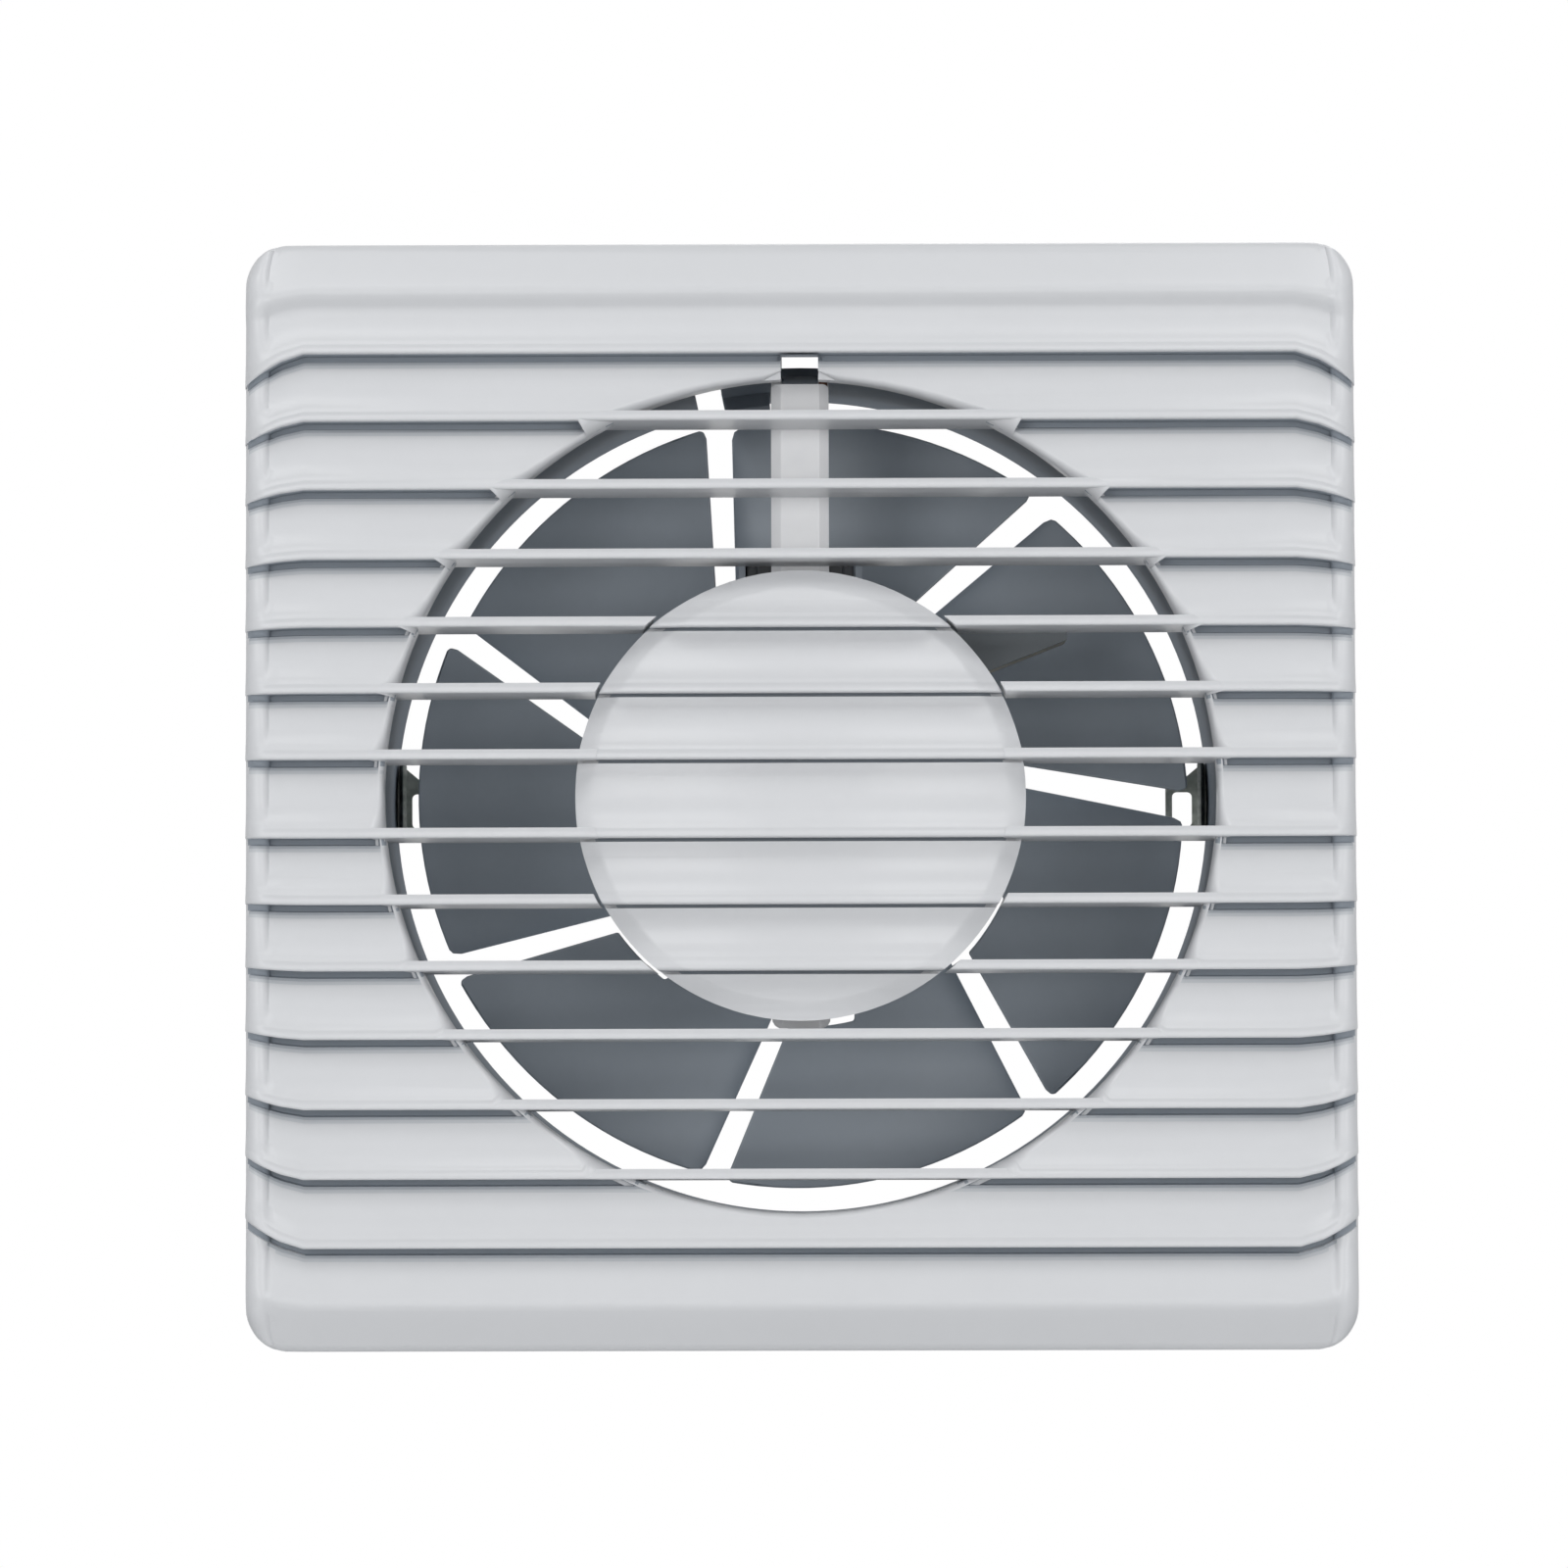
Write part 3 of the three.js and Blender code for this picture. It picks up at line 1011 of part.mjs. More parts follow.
/** Builds the motor's fixed pieces. */
function buildMotor() {
  const group = new THREE.Group();
  const bracket = makeBracket();
  addPart(group, "stator_core", makeCore(), FINISHES.coreSteel);
  addPart(group, "coil_bobbin", makeBobbin(), FINISHES.bobbinPlastic);
  addPart(group, "coil_winding", makeCoil(), FINISHES.coilTape);
  addPart(group, "shading_ring_upper", makeShadingRing(), FINISHES.copper);
  const lowerRing = addPart(group, "shading_ring_lower", makeShadingRing(), FINISHES.copper);
  lowerRing.rotation.y = Math.PI;
  addPart(group, "front_bracket", bracket, FINISHES.castAlloy);
  const rearBracket = addPart(group, "rear_bracket", bracket, FINISHES.castAlloy);
  rearBracket.rotation.z = Math.PI;
  rearBracket.position.y = 2 * CORE_MIDDLE;
  const bossEnd = SEAT_GAP + BRACKET_BOSS_LENGTH - SEAT_GAP - BEARING_LENGTH / 2;
  const frontBearing = addPart(group, "front_bearing", makeBearing(), FINISHES.sinteredBronze);
  frontBearing.position.y = CORE_FRONT - bossEnd;
  const rearBearing = addPart(group, "rear_bearing", makeBearing(), FINISHES.sinteredBronze);
  rearBearing.position.y = CORE_BACK + bossEnd;
  const headSeat = ARM_BACK - ARM_EAR_THICKNESS - SEAT_GAP;
  const nutSeat = CORE_BACK + SEAT_GAP + BRACKET_STANDOFF + SEAT_GAP;
  const length = nutSeat + NUT_HEIGHT + SCREW_TAIL - headSeat;
  const screw = makeScrew(MOTOR_SCREW_RADIUS, SCREW_HEAD_RADIUS, SCREW_HEAD_HEIGHT, length);
  addPair(group, "motor_screw", screw, FINISHES.brightSteel,
    (side) => [side * MOTOR_SCREW_OFFSET, headSeat, 0]);
  addPair(group, "motor_nut", makeNut(), FINISHES.brightSteel,
    (side) => [side * MOTOR_SCREW_OFFSET, nutSeat, 0]);
  return group;
}

/** Builds everything that turns. */
function buildRotatingPieces() {
  const group = new THREE.Group();
  addPart(group, "impeller", makeImpeller(), FINISHES.bladePlastic);
  addPart(group, "rotor", makeRotor(), FINISHES.brightSteel);
  addPart(group, "shaft", rod(SHAFT_RADIUS, SHAFT_FRONT, SHAFT_BACK, PIN_SIDES), FINISHES.brightSteel);
  const frontWasher = addPart(group, "front_washer", makeWasher(), FINISHES.fibre);
  frontWasher.position.y = CORE_FRONT + 0.3 - SEAT_GAP - WASHER_THICKNESS;
  const rearWasher = addPart(group, "rear_washer", makeWasher(), FINISHES.fibre);
  rearWasher.position.y = CORE_BACK - 0.3 + SEAT_GAP;
  const clip = tube(SHAFT_RADIUS + RUNNING_GAP, CLIP_RADIUS, 0, CLIP_THICKNESS, PIN_SIDES);
  const clipMesh = addPart(group, "impeller_clip", clip, FINISHES.brightSteel);
  clipMesh.position.y = HUB_BACK + SEAT_GAP;
  return group;
}

const windowFan = new THREE.Group();
windowFan.name = "window_exhaust_fan";
windowFan.add(buildFixedPieces());
windowFan.add(buildMotor());
windowFan.add(buildRotatingPieces());
const coverGroup = new THREE.Group();
addPart(coverGroup, "front_cover", makeCover(), FINISHES.coverPlastic);
windowFan.add(coverGroup);

export default windowFan;
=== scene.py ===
"""Looks of a square louvred window extractor fan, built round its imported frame.

Every size is in millimetres until a mesh is made. The origin is on the duct's axis in the
wall plane: the louvred face looks along -Y, the duct runs back along +Y, and +Z is up.
"""

import logging
import math
from dataclasses import dataclass, field
from enum import Enum
from functools import reduce
from typing import Callable, ClassVar, Iterable, Sequence

import bmesh
import bpy
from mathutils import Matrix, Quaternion, Vector
from mathutils.geometry import tessellate_polygon

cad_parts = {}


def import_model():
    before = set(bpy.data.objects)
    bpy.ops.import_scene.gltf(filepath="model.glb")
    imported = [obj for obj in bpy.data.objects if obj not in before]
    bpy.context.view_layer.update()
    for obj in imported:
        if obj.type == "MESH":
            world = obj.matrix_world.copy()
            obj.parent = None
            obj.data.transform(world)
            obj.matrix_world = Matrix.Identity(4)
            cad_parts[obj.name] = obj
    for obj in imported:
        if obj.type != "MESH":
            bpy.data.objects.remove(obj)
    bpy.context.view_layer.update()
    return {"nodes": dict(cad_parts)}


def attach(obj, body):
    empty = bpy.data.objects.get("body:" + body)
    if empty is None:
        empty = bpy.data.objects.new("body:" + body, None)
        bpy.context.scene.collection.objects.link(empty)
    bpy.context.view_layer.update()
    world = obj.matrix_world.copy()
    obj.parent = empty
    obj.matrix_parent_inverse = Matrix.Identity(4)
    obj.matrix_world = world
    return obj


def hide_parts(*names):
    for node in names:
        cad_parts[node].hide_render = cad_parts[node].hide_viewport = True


LOG = logging.getLogger("window_fan")

MM = 0.001
MERGE_REACH = 0.002
SLIVER_REACH = 0.0005
FLAT_DEGREES = 0.2
CREASE_DEGREES = 35.0
SIDES = (("left", -1), ("right", 1))
CORNERS = ((1, 1), (-1, 1), (-1, -1), (1, -1))

Point = tuple[float, float, float]
Flat = tuple[float, float]
Profile = tuple[Flat, ...]
Node = bpy.types.Node
Socket = bpy.types.NodeSocket
Piece = bpy.types.Object


class Body(Enum):
    """The moving bodies of the frame."""

    HOUSING = "housing"
    FAN = "fan"
    COVER = "cover"


class Axis(Enum):
    """The axis that a flat outline is drawn out along."""

    X = "x"
    Y = "y"
    Z = "z"


class Slot(Enum):
    """The record's material slots."""

    COVER = "cover_plastic"
    ARM = "arm_plastic"
    DUCT = "duct_plastic"
    BLADE = "blade_plastic"
    SPRING = "spring_steel"
    CORE = "core_steel"
    BRIGHT = "bright_steel"
    CAST = "cast_alloy"
    BRONZE = "bearing_bronze"
    COPPER = "copper"
    TAPE = "coil_tape"
    BOBBIN = "bobbin_plastic"
    FIBRE = "washer_fibre"
    BRASS = "brass"
    TERMINAL = "terminal_plastic"
    LIVE = "live_insulation"
    NEUTRAL = "neutral_insulation"


# ---- meshes


def circle(radius: float, sides: int, centre: Flat = (0.0, 0.0)) -> list[Flat]:
    """Lists points round a circle, counter-clockwise from the first axis."""
    turns = [2 * math.pi * index / sides for index in range(sides)]
    return [(centre[0] + radius * math.cos(turn), centre[1] + radius * math.sin(turn))
            for turn in turns]


def arc(radius: float, start: float, sweep: float, steps: int) -> list[Flat]:
    """Lists points along an arc round the origin, its start and its sweep in degrees."""
    turns = [math.radians(start + sweep * index / steps) for index in range(steps + 1)]
    return [(radius * math.cos(turn), radius * math.sin(turn)) for turn in turns]


def swung(section: Sequence[Flat], turn: float, side: float = 0.0) -> list[Point]:
    """Stands a section of (radius, y) at an angle in radians round the Y axis."""
    cosine, sine = math.cos(turn), math.sin(turn)
    return [(r * cosine - side * sine, y, r * sine + side * cosine) for r, y in section]


def chord(radius: float, height: float) -> float:
    """Gives half a circle's width at a height, 0 beyond the circle."""
    return math.sqrt(max(0.0, radius**2 - height**2))


def mirrored(points: Iterable[Point]) -> list[Point]:
    """Mirrors points from one side of the axis to the other."""
    return [(-x, y, z) for x, y, z in points]


def rectangle(left: float, right: float, low: float, high: float) -> list[Flat]:
    """Lists the corners of a rectangle, counter-clockwise."""
    return [(left, low), (right, low), (right, high), (left, high)]


def rounded_rectangle(half: Flat, radius: float, steps: int = 8,
                      centre: Flat = (0.0, 0.0)) -> list[Flat]:
    """Lists points round a rectangle with rounded corners.

    Args:
        half: Half its width and half its height.
        radius: The corners' radius.
        steps: How many steps each corner has.
        centre: Its centre.

    Returns:
        The points, counter-clockwise.
    """
    points = []
    for quarter, (right, up) in enumerate(CORNERS):
        for step in range(steps + 1):
            turn = (quarter + step / steps) * math.pi / 2
            across = right * (half[0] - radius) + radius * math.cos(turn)
            rise = up * (half[1] - radius) + radius * math.sin(turn)
            points.append((centre[0] + across, centre[1] + rise))
    return points


@dataclass
class MeshDraft:
    """Collects points in millimetres and faces, then makes a mesh object of them."""

    points: list[Point] = field(default_factory=list)
    faces: list[tuple[int, ...]] = field(default_factory=list)

    def add(self, points: Iterable[Point]) -> list[int]:
        """Adds points.

        Args:
            points: The points to add.

        Returns:
            Their indexes.
        """
        start = len(self.points)
        self.points.extend(points)
        return list(range(start, len(self.points)))

    def bridge(self, first: Sequence[int], second: Sequence[int], closed: bool = True) -> None:
        """Joins two rows of points with four-sided faces.

        Args:
            first: The first row's indexes.
            second: The second row's indexes, as many.
            closed: Whether the rows are rings.
        """
        count = len(first)
        for index in range(count if closed else count - 1):
            following = (index + 1) % count
            self.faces.append((first[index], first[following], second[following], second[index]))

    def loft(self, loops: Sequence[Sequence[Point]], closed: bool = True,
             caps: bool = True) -> None:
        """Joins rings of points in order.

        Args:
            loops: The rings, each with as many points.
            closed: Whether each ring closes on itself.
            caps: Whether the first and last ring are filled.
        """
        rows = [self.add(loop) for loop in loops]
        for first, second in zip(rows, rows[1:]):
            self.bridge(first, second, closed)
        if caps:
            self.faces.extend((tuple(rows[0]), tuple(rows[-1])))

    def grid(self, rows: Sequence[Sequence[Point]]) -> None:
        """Makes a sheet from rows of points, each with as many points."""
        self.loft(rows, closed=False, caps=False)

    def twin_grid(self, rows: Sequence[Sequence[Point]]) -> None:
        """Makes a sheet's mirror image and then the sheet."""
        self.grid([mirrored(row) for row in rows])
        self.grid(rows)

    def lathe(self, profile: Sequence[Flat], sides: int, closed: bool = True) -> None:
        """Turns a profile round the Y axis.

        Args:
            profile: Points of radius and Y.
            sides: How many steps the turn has.
            closed: Whether the profile's last point joins its first.
        """
        rows = [self.add((across, along, rise) for across, rise in circle(radius, sides))
                for radius, along in profile]
        if closed:
            rows.append(rows[0])
        for first, second in zip(rows, rows[1:]):
            self.bridge(first, second)

    def prism(self, outline: Sequence[Flat], low: float, high: float, axis: Axis = Axis.Y,
              holes: Sequence[Sequence[Flat]] = ()) -> None:
        """Draws a flat outline out along an axis.

        Args:
            outline: The outline: (x, z) for axis Y, (y, z) for X and (x, y) for Z.
            low: Where the prism starts along the axis.
            high: Where it ends.
            axis: The axis.
            holes: Outlines that are left open.
        """
        place = {
            Axis.X: lambda first, second, along: (along, first, second),
            Axis.Y: lambda first, second, along: (first, along, second),
            Axis.Z: lambda first, second, along: (first, second, along),
        }[axis]
        rings = [list(outline), *[list(hole) for hole in holes]]
        ends = []
        for along in (low, high):
            ends.append([self.add(place(*point, along) for point in ring) for ring in rings])
        for near, far in zip(*ends):
            self.bridge(near, far)
        filled = tessellate_polygon([[Vector((*point, 0.0)) for point in ring] for ring in rings])
        for side in ends:
            flat = [index for ring in side for index in ring]
            self.faces.extend(tuple(flat[corner] for corner in triangle) for triangle in filled)

    def box(self, across: Flat, along: Flat, up: Flat) -> None:
        """Adds a box from its limits along X, Y and Z."""
        self.prism(rectangle(*across, *up), *along)

    def shift(self, across: float, up: float = 0.0) -> None:
        """Moves all points along X and Z."""
        self.points = [(x + across, y, z + up) for x, y, z in self.points]

    def tube_along(self, path: Sequence[Point], radius: float, sides: int = 12) -> None:
        """Makes a round bar along a path.

        Args:
            path: The points it passes through.
            radius: Its radius.
            sides: How many sides its section has.
        """
        places = [Vector(point) for point in path]
        rings = []
        side = Vector((0.0, 1.0, 0.0))
        for index, place in enumerate(places):
            ahead = places[min(index + 1, len(places) - 1)] - places[max(index - 1, 0)]
            ahead.normalize()
            side = (side - ahead * side.dot(ahead)).normalized()
            other = ahead.cross(side)
            rings.append([tuple(place + side * across + other * rise)
                          for across, rise in circle(radius, sides)])
        self.loft(rings)

    def make(self, name: str, crease_degrees: float = CREASE_DEGREES) -> Piece:
        """Makes the mesh object.

        Args:
            name: The object's name.
            crease_degrees: Edges that turn by more than this stay sharp.

        Returns:
            The object, linked to the scene.
        """
        mesh = bpy.data.meshes.new(name)
        mesh.from_pydata([tuple(value * MM for value in point) for point in self.points], [],
                         self.faces)
        work = bmesh.new()
        work.from_mesh(mesh)
        bmesh.ops.remove_doubles(work, verts=work.verts, dist=MERGE_REACH * MM)
        bmesh.ops.dissolve_degenerate(work, dist=SLIVER_REACH * MM, edges=work.edges)
        bmesh.ops.dissolve_limit(work, angle_limit=math.radians(FLAT_DEGREES), verts=work.verts,
                                 edges=work.edges)
        bmesh.ops.recalc_face_normals(work, faces=work.faces)
        work.to_mesh(mesh)
        work.free()
        mesh.shade_smooth()
        mesh.set_sharp_from_angle(angle=math.radians(crease_degrees))
        piece = bpy.data.objects.new(name, mesh)
        bpy.context.scene.collection.objects.link(piece)
        return piece


def soften(piece: Piece, width: float, degrees: float = 40.0,
           segments: int = 2) -> None:
    """Rounds a piece's sharp edges a little, as a mould or a press leaves them.

    Args:
        piece: The piece.
        width: The rounding's width in millimetres.
        degrees: Edges that turn by more than this are rounded.
        segments: How many steps the rounding has.
    """
    for edge in piece.data.edges:
        edge.use_edge_sharp = False
    bevel = piece.modifiers.new("edge_rounding", "BEVEL")
    bevel.width = width * MM
    bevel.segments = segments
    bevel.limit_method = "ANGLE"
    bevel.angle_limit = math.radians(degrees)
    bevel.use_clamp_overlap = True
    normals = piece.modifiers.new("even_shading", "WEIGHTED_NORMAL")
    normals.keep_sharp = False


def cut_away(piece: Piece, cutter: MeshDraft) -> None:
    """Cuts a draft's solid out of a piece.

    Args:
        piece: The piece, which keeps its name.
        cutter: What is cut away.
    """
    tool = cutter.make(f"{piece.name}_cutter")
    modifier = piece.modifiers.new("opening", "BOOLEAN")
    modifier.operation = "DIFFERENCE"
    modifier.solver = "EXACT"
    modifier.use_self = True
    modifier.object = tool
    graph = bpy.context.evaluated_depsgraph_get()
    mesh = bpy.data.meshes.new_from_object(piece.evaluated_get(graph))
    piece.modifiers.clear()
    piece.data = mesh
    mesh.shade_smooth()
    mesh.set_sharp_from_angle(angle=math.radians(CREASE_DEGREES))
    bpy.data.objects.remove(tool)


# ---- shader effects


def srgb(code: str) -> tuple[float, float, float, float]:
    """Turns a colour written as six hexadecimal digits into linear values.

    Args:
        code: The colour, such as "d4d6d8".

    Returns:
        Linear red, green, blue and a full alpha.
    """
    parts = [int(code[start:start + 2], 16) / 255 for start in (0, 2, 4)]
    red, green, blue = (part / 12.92 if part <= 0.04045 else ((part + 0.055) / 1.055) ** 2.4
                        for part in parts)
    return (red, green, blue, 1.0)


@dataclass
class NodeDesk:
    """Places nodes in a tree and joins them."""

    tree: bpy.types.NodeTree

    def add(self, kind: str, **values: object) -> Node:
        """Adds a node and sets its attributes.

        Args:
            kind: The node's type.
            values: Attributes and their values.

        Returns:
            The node.
        """
        node = self.tree.nodes.new(kind)
        for name, value in values.items():
            setattr(node, name, value)
        return node

    def join(self, source: object, target: Socket) -> None:
        """Links an output to an input, or sets the input to a plain value.

        Args:
            source: A socket or a value.
            target: The input.
        """
        if isinstance(source, Socket):
            self.tree.links.new(source, target)
        else:
            target.default_value = source

    def put(self, kind: str, inputs: dict[str | int, object], output: str | int = 0,
            **values: object) -> Socket:
        """Adds a node with its attributes and inputs.

        Args:
            kind: The node's type.
            inputs: Input names or places, each with a socket or a value.
            output: The output that is wanted.
            values: Attributes and their values.

        Returns:
            That output.
        """
        node = self.add(kind, **values)
        for name, value in inputs.items():
            self.join(value, node.inputs[name])
        return node.outputs[output]

    def coordinates(self) -> Socket:
        """Gives the object's own coordinates."""
        return self.put("ShaderNodeTexCoord", {}, "Object")

    def geometry(self, output: str) -> Socket:
        """Gives one of the surface's own values."""
        return self.put("ShaderNodeNewGeometry", {}, output)

    def math(self, operation: str, first: object, second: object = 0.0, third: object = 0.0,
             clamp: bool = False) -> Socket:
        """Works on sockets or numbers, the result within 0 and 1 where clamped."""
        return self.put("ShaderNodeMath", {0: first, 1: second, 2: third}, operation=operation,
                        use_clamp=clamp)

    def product(self, *factors: object) -> Socket:
        """Multiplies sockets or numbers."""
        return reduce(lambda first, second: self.math("MULTIPLY", first, second), factors)

    def dot(self, first: object, second: object) -> Socket:
        """Gives the dot product of two vectors, each a socket or a value."""
        return self.put("ShaderNodeVectorMath", {0: first, 1: second}, "Value",
                        operation="DOT_PRODUCT")

    def noise(self, vector: Socket, scale: object, detail: float = 3.0,
              roughness: float = 0.55) -> Socket:
        """Adds a noise texture and gives its value, around 0.5."""
        return self.put("ShaderNodeTexNoise", {"Vector": vector, "Scale": scale,
                                               "Detail": detail, "Roughness": roughness}, "Fac")

    def spread(self, value: Socket, low: float, high: float) -> Socket:
        """Maps a range of values smoothly to 0 to 1."""
        return self.put("ShaderNodeMapRange", {"Value": value, "From Min": low, "From Max": high},
                        "Result", interpolation_type="SMOOTHSTEP")

    def mix(self, share: object, first: object, second: object) -> Socket:
        """Mixes two colours by the second one's share."""
        return self.put("ShaderNodeMix", {0: share, 6: first, 7: second}, 2, data_type="RGBA")


class SocketKind(Enum):
    """What a shader group's socket carries."""

    NUMBER = "NodeSocketFloat"
    VECTOR = "NodeSocketVector"
    COLOUR = "NodeSocketColor"

    @classmethod
    def of(cls, value: object) -> "SocketKind":
        """Gives the kind of socket that a value needs.

        Args:
            value: A number, or the parts of a vector or a colour.

        Returns:
            The kind.
        """
        if isinstance(value, float):
            return cls.NUMBER
        return cls.COLOUR if len(value) == 4 else cls.VECTOR


class SurfaceEffects:
    """The node groups that more than one finish uses, each built once."""

    def __init__(self) -> None:
        """Starts with no groups built."""
        self._built: dict[str, bpy.types.NodeTree] = {}

    def _start(self, name: str, inputs: dict[str, object],
               *outputs: str) -> tuple[NodeDesk, Node, Node]:
        """Makes an empty group with its sockets.

        Args:
            name: The group's name.
            inputs: Its inputs' names and values.
            outputs: Its outputs' names.

        Returns:
            A desk for its tree, its input node and its output node.
        """
        tree = bpy.data.node_groups.new(name, "ShaderNodeTree")
        for label, value in inputs.items():
            made = tree.interface.new_socket(name=label, in_out="INPUT",
                                             socket_type=SocketKind.of(value).value)
            made.default_value = value
        for label in outputs:
            kind = SocketKind.COLOUR if label == "Colour" else SocketKind.NUMBER
            tree.interface.new_socket(name=label, in_out="OUTPUT", socket_type=kind.value)
        self._built[name] = tree
        desk = NodeDesk(tree)
        return desk, desk.add("NodeGroupInput"), desk.add("NodeGroupOutput")

    def place(self, desk: NodeDesk, name: str, **values: object) -> Node:
        """Puts a group into a material.

        Args:
            desk: The material's desk.
            name: The group's name, which is also the method that builds it.
            values: Input names, with underscores for spaces, and their sockets or values.

        Returns:
            The group node.
        """
        if name not in self._built:
            getattr(self, name)()
        node = desk.add("ShaderNodeGroup", node_tree=self._built[name])
        for key, value in values.items():
            desk.join(value, node.inputs[key.replace("_", " ").capitalize()])
        return node

    def mottle(self) -> None:
        """Builds the slow variation of colour and gloss that any surface has."""
        desk, given, result = self._start("mottle", {
            "Colour": (0.8, 0.8, 0.8, 1.0), "Amount": 0.04, "Scale": 40.0, "Roughness": 0.35,
            "Roughness spread": 0.06,
        }, "Colour", "Roughness")
        place, scale = desk.coordinates(), given.outputs["Scale"]
        broad = desk.noise(place, scale, 2.0)
        fine = desk.noise(place, desk.product(scale, 14.0), 3.0, 0.6)
        both = desk.math("MULTIPLY_ADD", fine, 0.35, desk.product(broad, 0.65))
        centred = desk.math("SUBTRACT", both, 0.5)
        amount = desk.product(given.outputs["Amount"], 4.0)
        gain = desk.math("MULTIPLY_ADD", centred, amount, 1.0)
        scaled = desk.put("ShaderNodeVectorMath", {0: given.outputs["Colour"], "Scale": gain},
                          operation="SCALE")
        desk.join(scaled, result.inputs["Colour"])
        swing = desk.product(given.outputs["Roughness spread"], 4.0)
        rough = desk.math("MULTIPLY_ADD", centred, swing, given.outputs["Roughness"], clamp=True)
        desk.join(rough, result.inputs["Roughness"])

    def grain(self) -> None:
        """Builds the fine relief of a moulded or cast skin."""
        desk, given, result = self._start("grain", {"Scale": 900.0, "Ripple": 0.5}, "Height")
        place, scale = desk.coordinates(), given.outputs["Scale"]
        fine = desk.noise(place, scale, 4.0, 0.6)
        slow = desk.noise(place, desk.product(scale, 0.12), 2.0)
        total = desk.math("MULTIPLY_ADD", slow, given.outputs["Ripple"], fine)
        desk.join(total, result.inputs["Height"])

    def edge_wear(self) -> None:
        """Builds a mask of the outer edges, broken up as rubbing leaves them."""
        desk, given, result = self._start("edge_wear", {"Amount": 0.5, "Scale": 300.0}, "Mask")
        edges = desk.spread(desk.geometry("Pointiness"), 0.505, 0.58)
        broken = desk.spread(desk.noise(desk.coordinates(), given.outputs["Scale"]), 0.35, 0.65)
        desk.join(desk.product(edges, broken, given.outputs["Amount"]), result.inputs["Mask"])

    def settled_dust(self) -> None:
        """Builds a mask of what faces up, where a little dust settles."""
        desk, given, result = self._start("settled_dust", {"Amount": 0.1}, "Mask")
        height = desk.put("ShaderNodeSeparateXYZ", {0: desk.geometry("Normal")}, "Z")
        upward = desk.spread(height, 0.35, 0.95)
        patchy = desk.spread(desk.noise(desk.coordinates(), 420.0, 4.0, 0.65), 0.35, 0.7)
        desk.join(desk.product(upward, patchy, given.outputs["Amount"]), result.inputs["Mask"])

    def brushing(self) -> None:
        """Builds fine lines along one direction, as rolling or drawing leaves them."""
        desk, given, result = self._start("brushing", {"Stretch": (1.0, 1.0, 1.0), "Scale": 900.0},
                                          "Height", "Mask")
        drawn = desk.put("ShaderNodeVectorMath", {0: desk.coordinates(),
                                                  1: given.outputs["Stretch"]},
                         operation="MULTIPLY")
        lines = desk.noise(drawn, given.outputs["Scale"], 4.0, 0.65)
        desk.join(lines, result.inputs["Height"])
        desk.join(desk.spread(lines, 0.35, 0.65), result.inputs["Mask"])

    def layers(self) -> None:
        """Builds even bands along one axis: stacked sheets or turns of tape."""
        desk, given, result = self._start("layers", {
            "Direction": (0.0, 1.0, 0.0), "Pitch": 0.0005, "Unevenness": 0.3,
        }, "Height", "Mask")
        place = desk.coordinates()
        along = desk.dot(place, given.outputs["Direction"])
        wander = desk.product(desk.noise(place, 260.0, 2.0), given.outputs["Unevenness"])
        pitches = desk.math("DIVIDE", along, given.outputs["Pitch"])
        turns = desk.math("ADD", pitches, wander)
        phase = desk.math("FRACT", turns)
        bowed = desk.product(phase, desk.math("SUBTRACT", 1.0, phase), 4.0)
        desk.join(desk.math("POWER", bowed, 0.35), result.inputs["Height"])
        sheet = desk.put("ShaderNodeTexWhiteNoise", {"W": desk.math("FLOOR", turns)}, "Value",
                         noise_dimensions="1D")
        desk.join(sheet, result.inputs["Mask"])


# ---- finishes


COAT_ROUGHNESS = 0.12
DUST_DULLING = 0.5
LINE_DULLING = 0.12


@dataclass(frozen=True)
class Finish:
    """What every finish has: a name, its slot, a colour and how glossy it is."""

    name: str
    slot: Slot
    colour: str
    roughness: float
    spread: float = 0.05
    mottle: float = 0.03
    mottle_scale: float = 45.0

    def start(self, effects: SurfaceEffects) -> tuple[bpy.types.Material, NodeDesk,
                                                      Node, Node]:
        """Makes the material with its mottle in place.

        Args:
            effects: The shared node groups.

        Returns:
            The material, its desk, its shader and its mottle node.
        """
        material = bpy.data.materials.new(self.name)
        material.use_nodes = True
        desk = NodeDesk(material.node_tree)
        shader = next(node for node in desk.tree.nodes if node.type == "BSDF_PRINCIPLED")
        mottle = effects.place(desk, "mottle", colour=srgb(self.colour), amount=self.mottle,
                               scale=self.mottle_scale, roughness=self.roughness,
                               roughness_spread=self.spread)
        material.diffuse_color = srgb(self.colour)
        return material, desk, shader, mottle

    @staticmethod
    def emboss(desk: NodeDesk, shader: Node, height: Socket,
               depth: float) -> None:
        """Joins a height to the shader's normal through a bump.

        Args:
            desk: The material's desk.
            shader: Its shader.
            height: The height, 0 to 1.
            depth: How deep 1 is, in millimetres.
        """
        bump = desk.put("ShaderNodeBump", {"Strength": 1.0, "Distance": depth * MM,
                                           "Height": height}, "Normal")
        desk.join(bump, shader.inputs["Normal"])


